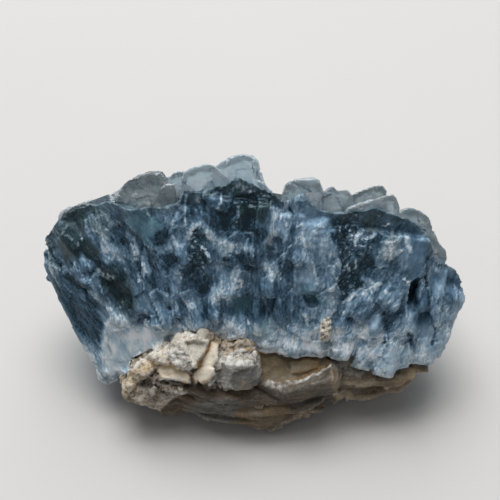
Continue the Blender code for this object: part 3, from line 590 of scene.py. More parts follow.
# large areas of the break as the camera sees them: name, tone, kind, outline
areas = [
    ("domeRim", 0.36, "grey", [
        (-41.2, 4.9), (-39.4, 7.8), (-37.3, 9.4), (-34.5, 10.3), (-31.8, 9.6), (-32.8, 7.8), (-34.9, 8.0),
        (-36.9, 6.6), (-38.6, 4.1), (-39.4, 2.1), (-40.6, 2.9)]),
    ("domeGreen", 0.13, "green", [
        (-39.0, 3.7), (-37.8, 6.6), (-35.7, 7.8), (-33.4, 7.6), (-33.7, 4.9), (-34.1, 2.9), (-31.4, 1.0),
        (-30.6, -1.0), (-32.6, -2.3), (-34.3, -0.6), (-36.3, -1.0), (-37.8, -2.5), (-39.4, 1.0)]),
    ("blueGrey", 0.36, "blue", [
        (-33.2, 9.0), (-29.1, 9.2), (-26.3, 8.6), (-25.4, 5.7), (-25.9, 3.7), (-28.7, 3.7), (-31.6, 2.1),
        (-33.7, 3.7), (-33.4, 7.2)]),
    ("crestWedge", 0.13, "green", [
        (-6.0, 12.7), (-4.1, 14.2), (-2.5, 15.2), (-0.4, 14.2), (2.5, 12.7), (6.8, 11.3), (5.1, 10.3), (3.9, 7.8),
        (2.9, 5.3), (0.4, 6.0), (-2.1, 4.9), (-3.7, 4.3), (-6.2, 4.7), (-6.6, 8.6)]),
    ("darkBand", 0.2, "blue", [
        (-13.1, 13.1), (-9.0, 11.9), (-5.7, 12.7), (-6.2, 4.9), (-3.7, 4.3), (0.4, 5.7), (3.3, 4.9), (3.7, 2.1),
        (1.2, 0.8), (-1.2, 1.2), (-4.9, 2.1), (-7.4, 3.3), (-9.4, 6.2), (-11.9, 5.7), (-13.1, 9.2)]),
    ("speckledRight", 0.16, "speck", [
        (16.4, 5.3), (18.5, 7.4), (20.9, 7.8), (26.1, 9.0), (28.3, 7.0), (26.3, 4.1), (25.4, 1.0), (25.6, -2.5),
        (23.0, -7.6), (19.5, -10.3), (17.9, -11.1), (18.1, -7.0), (17.4, -1.2), (16.4, 3.1)]),
    ("lightColumn", 0.56, "blue", [
        (8.2, 10.3), (11.1, 9.0), (14.4, 7.6), (16.2, 5.7), (17.0, 2.1), (17.6, -2.1), (18.1, -6.6), (17.6, -10.7),
        (15.6, -11.9), (13.1, -10.7), (11.1, -9.4), (10.1, -6.8), (11.3, -3.1), (10.7, 0.8), (9.0, 4.1),
        (7.4, 7.2)]),
    ("middleBlue", 0.37, "blue", [
        (-3.7, -8.6), (1.0, -6.2), (7.2, -6.6), (10.3, -9.4), (13.3, -11.3), (14.0, -14.8), (10.3, -17.4),
        (5.1, -18.5), (0.0, -17.4), (-3.1, -14.4)]),
    ("leftFoot", 0.86, "smooth", [
        (-30.2, -14.8), (-27.1, -14.8), (-22.6, -15.8), (-17.2, -16.4), (-18.5, -18.7), (-20.5, -20.9),
        (-22.2, -23.0), (-24.6, -24.8), (-28.1, -25.4), (-29.8, -23.8), (-30.6, -19.5)]),
    ("footEdge", 0.17, "green", [
        (-31.8, -22.5), (-30.2, -24.3), (-28.4, -25.7), (-26.4, -26.5), (-26.0, -30.0), (-34.0, -29.5)]),
    ("edgeLeft", 0.22, "blue", [
        (-39.5, -4.0), (-36.0, -7.4), (-33.6, -10.0), (-31.4, -14.0), (-30.5, -19.5), (-29.8, -25.4), (-30.0, -29.0),
        (-34.0, -27.0), (-36.5, -20.0), (-40.5, -12.0)]),
    ("darkLens", 0.09, "blue", [
        (-37.2, -2.2), (-35.6, -2.6), (-33.4, -5.2), (-32.4, -7.8), (-33.6, -9.4), (-35.6, -7.0), (-36.8, -4.6)]),
    ("rightCushion", 0.46, "blue", [
        (37.3, -4.1), (40.6, -3.7), (42.7, -5.3), (43.3, -7.8), (42.3, -11.3), (40.4, -14.0), (37.8, -12.7),
        (36.9, -8.6)]),
    ("smoothPillar", 0.29, "smooth", [
        (33.2, -9.4), (35.3, -8.2), (36.9, -9.4), (37.6, -14.0), (37.8, -17.6), (36.1, -19.3), (33.7, -17.6)]),
    ("lowRightFrost", 0.7, "blue", [
        (16.4, -19.5), (19.5, -18.5), (24.2, -20.9), (29.1, -21.8), (33.2, -20.5), (38.2, -19.7), (40.6, -18.1),
        (41.5, -20.9), (39.0, -23.8), (34.9, -24.4), (30.8, -24.6), (28.7, -25.9), (24.6, -25.4), (20.5, -23.4),
        (17.6, -22.2)]),
]

# places read off the photograph: name, across, up, half width, half length, lean, tone, kind
patches = [
    ("greenDome", -37.0, 21.1, 2.3, 2.7, -10, 0.14, "green"),
    ("speckledRim", -42.0, 11.5, 1.0, 6.3, -14, 0.42, "grey"),
    ("greenDeep", -36.7, 16.2, 2.3, 2.1, -35, 0.08, "green"),
    ("blueCushion", -34.7, 12.7, 1.8, 2.5, -30, 0.44, "blue"),
    ("darkLens", -36.2, 8.9, 1.8, 1.3, -40, 0.08, "blue"),
    ("paleSpeckle", -31.0, 23.5, 2.7, 3.1, -10, 0.52, "grey"),
    ("blueDeepLeft", -26.7, 22.2, 2.0, 1.7, -30, 0.22, "blue"),
    ("tealWindow", -21.3, 26.0, 3.3, 2.8, 5, 0.44, "teal"),
    ("whiteSplinter", -24.7, 22.0, 0.8, 2.5, -20, 0.86, "blue"),
    ("slantStreak", -28.6, 17.9, 1.0, 3.1, -52, 0.74, "blue"),
    ("darkUnderTeal", -18.5, 24.6, 2.6, 1.3, -40, 0.22, "blue"),
    ("stepLight", -14.9, 28.8, 0.8, 2.3, 35, 0.62, "blue"),
    ("crestShade", -12.6, 32.4, 1.8, 1.9, 0, 0.08, "blue"),
    ("crestLight", -11.4, 32.0, 1.2, 0.6, 80, 0.58, "grey"),
    ("crestWhite", -8.6, 33.6, 1.2, 1.1, 80, 0.95, "grey"),
    ("darkCap", -11.8, 29.7, 2.0, 1.3, 0, 0.1, "blue"),
    ("arrowLeft", -12.5, 25.7, 0.6, 2.3, 38, 0.8, "blue"),
    ("arrowRight", -9.0, 25.7, 0.6, 2.5, -38, 0.8, "blue"),
    ("speckledCore", -11.3, 20.7, 2.0, 5.0, -4, 0.1, "speck"),
    ("leafDark", -4.8, 29.7, 1.6, 3.1, 8, 0.1, "blue"),
    ("ridgeSpeckle", -2.2, 35.5, 1.4, 1.7, 40, 0.5, "grey"),
    ("bandLight", -17.5, 22.0, 2.7, 0.8, 0, 0.64, "blue"),
    ("bandBlue", -19.4, 19.2, 2.7, 1.7, 0, 0.24, "blue"),
    ("bandStreak", -22.0, 18.2, 0.8, 2.5, -15, 0.7, "blue"),
    ("greenHollow", -27.4, 10.9, 2.7, 4.6, -38, 0.12, "green"),
    ("greyFoot", -32.5, 7.0, 1.8, 1.5, -40, 0.55, "blue"),
    ("lightStreak", -15.4, 14.6, 1.0, 3.1, 0, 0.7, "blue"),
    ("blueWindow", -18.4, 15.0, 1.8, 2.7, 0, 0.24, "blue"),
    ("paleBlade", -6.0, 13.3, 1.8, 3.6, 22, 0.74, "blue"),
    ("whiteEdge", -3.6, 16.5, 0.8, 2.5, 20, 0.86, "blue"),
    ("coreFoot", -10.1, 14.0, 1.6, 1.9, 0, 0.14, "blue"),
    ("bandDark", -2.0, 20.3, 3.1, 1.3, 0, 0.15, "blue"),
    ("bandPale", -5.4, 22.2, 1.8, 1.7, 0, 0.58, "blue"),
    ("darkLeft", -0.8, 26.6, 1.6, 1.9, 0, 0.12, "blue"),
    ("darkSlope", 0.2, 33.0, 2.5, 1.5, -35, 0.12, "speck"),
    ("longWhite", 3.7, 25.5, 0.8, 4.0, 10, 0.92, "grey"),
    ("secondWhite", 6.9, 30.9, 0.6, 3.6, 10, 0.84, "blue"),
    ("paleStreaks", 5.3, 27.0, 2.0, 4.2, 8, 0.6, "blue"),
    ("darkMiddle", 0.2, 19.4, 1.8, 1.9, 0, 0.17, "blue"),
    ("sparkCleft", 7.1, 19.4, 1.4, 3.1, 5, 0.32, "blue"),
    ("smoothColumn", 12.3, 27.8, 2.3, 2.9, 3, 0.58, "smooth"),
    ("columnBody", 14.0, 23.2, 2.3, 3.8, -8, 0.6, "blue"),
    ("columnRim", 16.8, 21.5, 0.5, 4.2, -8, 0.74, "blue"),
    ("paleFoot", 10.8, 15.4, 1.8, 2.5, 20, 0.64, "smooth"),
    ("columnFoot", 15.2, 14.4, 1.4, 2.9, -5, 0.6, "blue"),
    ("darkSpeckle", 18.6, 26.6, 1.8, 3.1, 0, 0.15, "speck"),
    ("lyingShade", 23.4, 29.7, 3.5, 1.1, 80, 0.2, "green"),
    ("blueShade", 25.4, 24.7, 2.0, 1.7, 20, 0.22, "blue"),
    ("speckleLow", 19.8, 21.3, 1.8, 2.3, 20, 0.15, "speck"),
    ("slantShade", 22.9, 17.8, 2.7, 1.7, 45, 0.2, "blue"),
    ("slantLight", 23.7, 15.0, 2.9, 0.8, 50, 0.64, "blue"),
    ("greyStreaks", 27.9, 22.8, 1.6, 2.5, 20, 0.56, "grey"),
    ("rightWhite", 31.2, 22.4, 0.5, 2.1, -5, 0.86, "blue"),
    ("roundColumn", 32.9, 18.8, 1.6, 5.0, 2, 0.44, "smooth"),
    ("capBlue", 31.5, 26.3, 2.7, 1.3, 60, 0.24, "blue"),
    ("rightBlock", 39.4, 11.9, 2.5, 2.5, 0, 0.52, "smooth"),
    ("deepSlot", 32.6, 11.7, 1.0, 2.9, 8, 0.01, "blue"),
    ("smoothBlue", 34.9, 4.6, 1.6, 3.6, -8, 0.3, "smooth"),
    ("edgeBlue", -32.6, 2.5, 1.2, 3.4, -18, 0.2, "blue"),
    ("bigFacet", -25.7, 2.9, 2.7, 1.5, -60, 0.7, "smooth"),
    ("lowFacet", -27.4, -2.3, 2.7, 2.7, -20, 0.62, "smooth"),
    ("brightEdge", -29.9, -1.8, 0.4, 2.5, -10, 0.92, "grey"),
    ("blueStreaks", -18.3, 7.8, 2.5, 1.9, -15, 0.44, "blue"),
    ("darkBlue", -8.7, 8.7, 2.0, 1.5, 0, 0.27, "blue"),
    ("paleStand", -4.8, 6.8, 1.0, 1.9, 5, 0.68, "blue"),
    ("tealDark", -2.4, 10.8, 1.8, 2.1, 0, 0.27, "teal"),
    ("wideBlue", 4.9, 10.4, 2.9, 2.7, 0, 0.25, "blue"),
    ("tealPale", 2.1, 4.8, 2.9, 1.9, 0, 0.44, "teal"),
    ("rootWhite", 11.0, 7.2, 0.4, 2.1, -12, 0.82, "blue"),
    ("darkWedge", 12.2, 12.2, 1.1, 2.8, -55, 0.38, "teal"),
    ("frostRoot", 16.1, 2.1, 2.0, 1.3, 90, 0.84, "grey"),
    ("blueRight", 18.8, 5.5, 1.8, 2.3, 0, 0.42, "blue"),
    ("lightLine", 21.9, 12.7, 0.5, 3.1, 62, 0.82, "blue"),
    ("paleTile", 24.9, 6.1, 1.2, 1.9, 5, 0.66, "smooth"),
    ("darkGap", 27.5, 6.5, 0.8, 2.5, 0, 0.14, "blue"),
    ("slateRight", 29.3, 8.5, 1.6, 2.1, 0, 0.3, "blue"),
    ("darkChip", 31.7, 2.0, 1.0, 1.3, 0, 0.22, "blue"),
    ("paleRight", 38.7, 5.3, 1.2, 2.7, 0, 0.62, "blue"),
    ("paleKnobs", 37.7, -0.8, 2.9, 2.1, 30, 0.64, "smooth"),
    ("lowKnobs", 28.2, -1.2, 3.1, 1.3, 90, 0.66, "smooth"),
]

# single streaks, cracks and edges as the camera sees them: tone, reach, line
marks = [
    (0.84, 0.42, [(-24.3, 2.7), (-23.9, 0.6), (-23.4, -1.6)]),
    (0.78, 0.5, [(-30.2, 0.2), (-28.1, -0.6), (-25.9, -1.8)]),
    (0.56, 0.5, [(-36.7, -3.7), (-35.3, -5.3), (-34.2, -6.1)]),
    (0.74, 0.42, [(-31.0, -4.1), (-29.4, -4.9), (-28.1, -5.7)]),
    (0.8, 0.36, [(-22.0, -2.0), (-21.8, -3.5), (-22.6, -6.5)]),
    (0.6, 0.26, [(-38.1, 3.7), (-36.7, 2.4), (-35.1, 0.8)]),
    (0.56, 0.24, [(-40.4, 4.3), (-38.9, 3.7), (-37.5, 5.1)]),
    (0.04, 0.6, [(-37.3, -4.9), (-35.9, -6.5), (-34.5, -8.2)]),
    (0.1, 0.26, [(-42.2, 3.7), (-41.2, 0.4), (-39.6, -1.8), (-38.7, -3.7), (-37.7, -5.9)]),
    (0.74, 0.22, [(-41.9, 2.7), (-41.4, -0.2), (-39.8, -2.4), (-39.3, -4.3)]),
    (0.05, 0.5, [(-32.6, -1.6), (-30.6, -2.8), (-28.3, -3.7)]),
    (0.8, 0.22, [(-21.2, 8.0), (-20.5, 6.3)]),
    (0.84, 0.26, [(-34.8, 2.9), (-34.4, 2.1)]),
    (0.05, 0.5, [(-30.0, -6.9), (-27.9, -6.5), (-26.3, -8.2)]),
    (0.62, 0.3, [(-33.8, 5.7), (-33.4, 4.3), (-31.8, 3.7)]),
    (0.76, 0.22, [(-13.2, 11.6), (-13.2, 8.8), (-13.2, 4.9)]),
    (0.06, 0.32, [(-13.5, 12.6), (-12.6, 11.6), (-9.7, 11.6), (-6.1, 12.8)]),
    (0.95, 0.55, [(-9.3, 11.0), (-7.1, 11.3)]),
    (0.74, 0.22, [(-5.5, 13.1), (-5.9, 10.8), (-6.5, 7.8)]),
    (0.78, 0.36, [(-12.6, 2.7), (-11.4, 4.7), (-10.2, 5.3), (-9.1, 3.7), (-7.5, 1.4)]),
    (0.76, 0.28, [(-9.7, 0.4), (-8.7, -0.8), (-8.1, -2.6)]),
    (0.62, 0.24, [(-5.3, 2.9), (-5.5, -0.6), (-5.4, -3.1)]),
    (0.64, 0.32, [(-0.4, 2.7), (-0.8, 1.0), (-2.2, -0.6)]),
    (0.92, 0.46, [(5.3, 8.0), (4.5, 4.9), (4.1, 1.4)]),
    (0.88, 0.28, [(9.0, 11.6), (7.8, 8.8), (7.4, 5.3)]),
    (0.72, 0.22, [(2.9, 11.6), (4.5, 10.6), (4.1, 8.4)]),
    (0.74, 0.24, [(11.0, 2.9), (8.8, 1.0), (7.0, -1.0)]),
    (0.78, 0.3, [(9.4, 4.5), (10.8, 4.9), (11.0, 3.5), (9.4, 2.2)]),
    (0.78, 0.24, [(12.5, -2.4), (13.5, -4.5), (13.9, -6.5)]),
    (0.62, 0.2, [(10.6, 0.2), (11.9, -1.8)]),
    (0.88, 0.46, [(-2.8, -3.7), (-3.4, -5.9), (-1.8, -6.3), (-2.6, -8.1)]),
    (0.05, 0.3, [(-11.2, 3.9), (-12.2, 1.8)]),
    (0.07, 0.8, [(-2.6, 4.9), (0.6, 4.3), (2.5, 2.7)]),
    (0.1, 0.5, [(6.4, -2.2), (6.2, -4.9)]),
    (0.14, 0.22, [(8.2, 10.4), (8.6, 6.9)]),
    (0.07, 0.45, [(-5.1, 13.1), (-2.8, 14.7), (-0.6, 13.7), (2.3, 12.4), (5.3, 11.4), (6.4, 11.1)]),
    (0.56, 0.3, [(-3.4, 12.0), (-1.8, 13.3), (-1.6, 12.0)]),
    (0.74, 0.26, [(0.2, 13.5), (0.3, 12.0)]),
    (0.6, 0.26, [(-2.2, 8.8), (-2.4, 5.7)]),
    (0.1, 0.5, [(-5.1, -2.0), (-2.6, -1.6), (-0.2, -0.6)]),
    (0.68, 0.28, [(16.3, 3.5), (17.3, 0.0), (18.1, -3.7), (18.1, -7.1)]),
    (0.84, 0.46, [(31.6, 2.8), (32.4, 1.2), (32.6, -0.4)]),
    (0.6, 0.24, [(28.9, 4.1), (28.9, 0.8), (28.9, -1.2)]),
    (0.1, 0.26, [(36.5, -1.6), (36.2, -4.7), (34.0, -6.3)]),
    (0.8, 0.36, [(21.4, -9.0), (23.2, -7.8), (25.4, -7.4), (26.9, -7.2)]),
    (0.64, 0.28, [(23.2, -6.9), (25.4, -4.7)]),
    (0.78, 0.5, [(27.9, -8.8), (28.9, -9.2)]),
    (0.84, 0.36, [(31.6, -6.3), (32.4, -6.5)]),
    (0.1, 0.32, [(36.5, -1.2), (36.2, -7.1), (36.7, -11.0)]),
    (0.56, 0.2, [(34.8, -6.7), (35.2, -10.0)]),
    (0.76, 0.34, [(18.1, 4.7), (18.3, 3.5)]),
    (0.8, 0.3, [(19.8, 4.9), (20.3, 3.4)]),
    (0.72, 0.28, [(20.6, 4.9), (21.3, 4.3)]),
    (0.76, 0.34, [(23.2, 3.4), (22.0, 2.8), (21.8, 1.4)]),
    (0.74, 0.34, [(24.4, 2.2), (25.6, 3.0)]),
    (0.88, 0.28, [(27.3, 5.1), (28.5, 5.3)]),
    (0.8, 0.26, [(21.4, -3.7), (22.2, -2.3)]),
    (0.7, 0.24, [(20.3, -3.1), (20.4, -4.1)]),
    (0.74, 0.24, [(27.9, -0.8), (27.9, -1.6)]),
    (0.86, 0.34, [(36.5, 2.4), (37.7, 1.6)]),
    (0.68, 0.3, [(37.9, -3.5), (39.9, -3.9), (41.8, -4.1), (42.6, -5.1)]),
    (0.16, 0.5, [(26.9, 3.5), (26.5, 1.2)]),
    (0.08, 0.6, [(16.9, 2.4), (18.7, 0.8), (18.9, -2.1)]),
    (0.08, 0.6, [(23.8, -2.7), (22.2, -5.1), (18.9, -7.6)]),
    (0.9, 0.32, [(-29.7, -17.9), (-29.6, -20.1), (-29.3, -22.4)]),
    (0.78, 0.2, [(-27.1, -18.9), (-25.5, -20.7), (-24.1, -22.4)]),
    (0.8, 0.36, [(-30.4, -11.0), (-28.2, -12.0), (-26.9, -14.0)]),
    (0.82, 0.42, [(-27.4, -15.3), (-25.1, -16.0)]),
    (0.7, 0.26, [(-21.6, -12.2), (-21.0, -13.8), (-19.8, -13.6)]),
    (0.66, 0.24, [(-5.5, -13.6), (-5.3, -16.5)]),
    (0.66, 0.24, [(-3.3, -13.6), (-3.7, -16.7)]),
    (0.62, 0.28, [(-11.0, -17.1), (-9.2, -16.0), (-7.2, -15.0), (-6.0, -15.6)]),
    (0.8, 0.24, [(11.0, -12.9), (11.6, -14.8), (13.5, -16.7)]),
    (0.68, 0.28, [(13.5, -9.3), (15.1, -10.7), (17.3, -10.1)]),
    (0.8, 0.32, [(19.0, -11.2), (21.5, -9.6), (24.8, -8.8)]),
    (0.88, 0.22, [(19.0, -13.3), (19.5, -12.9)]),
    (0.12, 0.42, [(27.6, -13.4), (28.3, -16.5), (27.6, -19.2)]),
    (0.66, 0.26, [(31.9, -11.0), (33.5, -16.5), (36.6, -19.5)]),
    (0.16, 0.24, [(36.8, -12.3), (37.9, -16.2), (37.5, -19.2)]),
    (0.12, 0.42, [(32.7, -17.3), (33.3, -19.2)]),
    (0.92, 0.24, [(-0.9, -14.1), (-0.5, -14.7)]),
]


def ringFaces(size, last):  # the sides and the two ends of a closed piece made of rings of points
    sides = [[ring * size + k, ring * size + (k + 1) % size, (ring + 1) * size + (k + 1) % size, (ring + 1) * size + k]
             for ring in range(last) for k in range(size)]
    return sides, [list(range(size))[::-1], [last * size + k for k in range(size)]]


def solidFrom(name, rings):  # a closed piece from rings of points
    sides, ends = ringFaces(len(rings[0]), len(rings) - 1)
    piece = newPiece(name, [point for ring in rings for point in ring], sides + ends)
    editMesh(piece, (bpy.ops.mesh.quads_convert_to_tris, {}), (bpy.ops.mesh.normals_make_consistent, {"inside": False}))
    return piece


def capCutter():  # what stands above and behind the crest of the break
    rings, depth = [], mass["crestDepth"]
    for a, u in breakFace["crest"]:
        u = u + mass["capLift"]
        section = [(u, 14.0), (u, 0.0), (u - 0.5, -depth), (u - 0.5 - 40 * mass["capSlope"], -depth - 40),
                   (u + 60, -depth - 40), (u + 60, 14.0)]
        rings.append([placeOnFace(a, level, out) for level, out in section])
    return solidFrom("cap", rings)


def crestWall():  # fills the break out to its crest where the source stays below it
    rings = []
    for a, u in breakFace["crest"]:
        if abs(a) < mass["wallEnds"]:
            most, share = mass["wallHeight"]
            low = u - min(most, share * u)
            section = ((u + 0.4, -0.4), (low, -4.2), (low, -7.0), (u + 0.4, -2.4))
            rings.append([placeOnFace(a, level, out) for level, out in section])
    return solidFrom("crestWall", rings)


def cutMass():
    piece = copyOfNode("celestite_crystals", "brokenCelestite")
    combine(piece, crestWall(), "UNION")
    combine(piece, capCutter(), "DIFFERENCE")
    print("mass cut at the crest:", len(piece.data.polygons), "faces")
    remesh(piece, mass["voxel"])
    print("mass remeshed:", len(piece.data.polygons), "faces")
    return piece


def makeBrokenMass():
    piece = cutMass()
    points, normals = readMesh(piece)
    where, outward = faceCoordinates(points)
    across, up, out = where.T
    front = smooth(0.05, 0.55, (normals * outward).sum(1)) * smooth(-9.0, -4.5, out)
    growthFoot, along = growthCoordinates(across, up)
    aboveRoot = up + 1.2 * noiseAt(points, 2.4)
    rootLine = readTable(mass["rootLine"], across)
    root = smooth(rootLine + mass["rootEdge"], rootLine - mass["rootEdge"], aboveRoot) * smooth(-6.0, -3.0, out)
    points = rounded(piece, points, root * smooth(-0.9, -0.5, normals[:, 2]), mass["rootRounds"])

    # splinters in two sizes, and chips along the foot
    bigU, bigV, big = cells(growthFoot / mass["bigCell"][0], along / mass["bigCell"][1], 3)
    smallU, _, small = cells(growthFoot / mass["smallCell"][0] + 0.3 * noiseAt(points, 2.0),
                             along / mass["smallCell"][1], 17)
    chipU, _, chip = cells(across / mass["chipCell"][0] + 0.2 * small[0], up / mass["chipCell"][1], 29)

    def varied(aim, spread):
        return aim + spread[0] * (big[0] - 0.5) + spread[1] * (small[0] - 0.5)

    # the patches' edges run in splinters, so they are read at a place that each splinter shifts
    readAcross = across + 0.45 * noiseAt(points, 2.2) + 0.3 * (big[1] - 0.5)
    readUp = up + 1.3 * (small[1] - 0.5) + 0.9 * (big[2] - 0.5) + 0.5 * noiseAt(points, 1.2)
    calm = smooth(0.05, 0.35, noiseAt(points + 50, 5.0)) * 0.45
    tone = varied(mass["baseTone"], mass["baseSpread"]) + 0.16 * noiseAt(points + 90, 5.5)
    tone += 0.20 * smooth(14, 3, up) + 0.06 * smooth(-8, 2, across) - 0.03 * smooth(-14, -24, across)
    # zones of growth, which step from splinter to splinter
    zone = np.sin((readUp + 1.6 * np.abs(((growthFoot + 40) / 4.6) % 2 - 1) * 1.6) / 0.95)
    tone += 0.13 * zone * smooth(12, 16, up) * smooth(33, 26, up) * smooth(-30, -22, across) * smooth(12, 4, across)
    relief, teal = np.zeros(len(points)), np.zeros(len(points))
    flecked, green = np.full(len(points), 0.2), np.full(len(points), 0.12)
    seenAcross, seenUp = frontView(points)
    seenAcross += readAcross - across
    seenUp += 0.6 * (readUp - up)
    areaWeights = {}
    for name, aim, kind, outline in areas:
        weight = areaWeights[name] = smooth(*mass["areaEdge"], insideOutline(seenAcross, seenUp, outline))
        tone = blend(tone, weight, varied(aim, mass["areaSpread"]))
        calm, flecked, green = (blend(values, weight, share) for values, share in
                                zip((calm, flecked, green), mass["areaKinds"][kind]))
    for _, a, u, halfWidth, halfLength, lean, aim, kind in patches:
        lean = math.radians(lean)
        alongPatch = (readUp - u) * math.cos(lean) + (readAcross - a) * math.sin(lean)
        acrossPatch = (readAcross - a) * math.cos(lean) - (readUp - u) * math.sin(lean)
        reach = np.sqrt((acrossPatch / halfWidth) ** 2 + (alongPatch / halfLength) ** 2)
        isPale = aim > mass["levelTone"]
        weight = smooth(1.35, 0.8, reach) if isPale else smooth(1.55, 0.65, reach + 0.25 * (small[2] - 0.5))
        spread = mass["smoothSpread" if kind == "smooth" else "patchSpread"]
        aim = min(aim, mass["palest"])
        tone = blend(tone, weight, varied(aim, spread))
        relief += weight * (aim - mass["levelTone"])
        calm, flecked, green = (blend(values, weight, share) for values, share in
                                zip((calm, flecked, green), mass["patchKinds"][kind]))
        teal = blend(teal, weight, kind == "teal")
    rootTone = mass["rootTone"] - 0.12 * smooth(16, 22, across) + 0.18 * (chip[0] - 0.5)
    tone = blend(tone, mass["rootShare"] * root, rootTone + 0.22 * noiseAt(points + 70, 2.6))
    for aim, reach, line in marks:
        weight = smooth(reach * 1.5, reach * 0.5, nearLine(seenAcross, seenUp, line))
        weight = weight * smooth(-0.55, 0.0, noiseAt(points + 31, 0.7))
        tone = blend(tone, weight, varied(aim, mass["markSpread"]))
        relief += weight * (aim - mass["levelTone"]) * 0.6

    crestAt = readTable(breakFace["crest"], across)
    height = mass["bigHeight"] * (big[0] - 0.5) + mass["bigSlope"] * (bigU * (big[1] - 0.5) + bigV * (big[2] - 0.5)) * 2
    height += mass["smallHeight"] * (small[0] - 0.5) + mass["smallSlope"] * smallU * (small[1] - 0.5)
    rootHeight = 0.45 * (chip[1] - 0.5) + 0.4 * chipU * (chip[2] - 0.5) + 0.35 * noiseAt(points + 20, 2.0)
    height = height * (1 - 0.6 * calm) * (1 - 0.7 * root) + root * rootHeight
    height += mass["toneRelief"] * np.clip(relief, -0.7, 0.35)
    slotAcross, slotUp, slotReach = mass["slot"]
    outsideSlot = np.hypot(across - slotAcross, up - slotUp) >= slotReach
    height += mass["fill"] * np.clip(-0.8 - out, 0, 2.6) * smooth(-4.0, -6.0, up - crestAt) * outsideSlot
    foot = areaWeights["leftFoot"] * front
    height = height * (1 - 0.85 * foot) + foot * 0.9 * facets(points * np.array([0.8, 1.0, 0.7]), 5.0, 91)
    # the back and the sides: calmer, rounded steps
    behind = 0.5 * noiseAt(points, 3.0) + 0.22 * noiseAt(points, 1.1)
    move = blend(behind, front, height) + smooth(0.1, 0.6, -normals[:, 2]) * mass["underside"]
    points = flatten(points + normals * move[:, None], [0.8 * foot])
    writePoints(piece, points)

    stand, normals = bulge(piece)
    # painted highlight and painted shade: places that stand out of their neighbours are made paler, partly as frosty
    # edges and partly as a painted highlight, and hollows are made darker as painted shade
    tone += np.clip(stand * 1.6, -0.08, 0.22) * (1 - 0.5 * calm)
    edge = smooth(-1.6, -0.2, up - crestAt) * smooth(-5.0, -2.0, out)
    tone = blend(tone, 0.6 * edge, readTable(mass["crestTone"], across))
    green = blend(green, edge, 0.6)
    face = np.maximum(front, smooth(0.0, 0.25, normals @ toCamera) * smooth(-9.0, -5.0, out))
    face = np.maximum(face, root)
    # the sides get the same painted highlight on ridges and painted shade in hollows
    sideTone = mass["sideTone"] - 0.16 * edge + 0.3 * noiseAt(points, 2.5) + np.clip(stand * 1.6, -0.1, 0.2)
    writeAttributes(piece, grow=np.stack([growthFoot, along, out], 1), tone=blend(sideTone, face, tone), calm=calm,
                    flecked=blend(0.3, face, flecked), green=green, teal=teal)
    dress(piece, brokenMaterial())
    print("broken mass shaped")
    return piece


# clear crystals
tipLook = {"transmission": 0.58, "ior": 1.62, "absorbColour": (0.58, 0.80, 0.92), "absorbDensity": 55.0,
           "bright": (0.76, 0.90, 0.98), "dim": (0.19, 0.26, 0.27), "rough": 0.14}
fanLook = {"transmission": 0.93, "ior": 1.62, "absorbColour": (0.42, 0.74, 0.93), "absorbDensity": 80.0,
           "bright": (0.82, 0.93, 0.99), "dim": (0.62, 0.78, 0.88), "rough": 0.02}
clearLook = {  # what both have in common
    "frostBright": (0.95, 0.97, 0.98), "frostDim": (0.66, 0.72, 0.74), "speckle": (0.10, 0.14, 0.15),
    "frostRough": 0.30, "markShare": 0.45, "streak": (0.7, 3.0), "streakTurn": (-50, 0, 0), "bump": (0.6, 0.42),
}

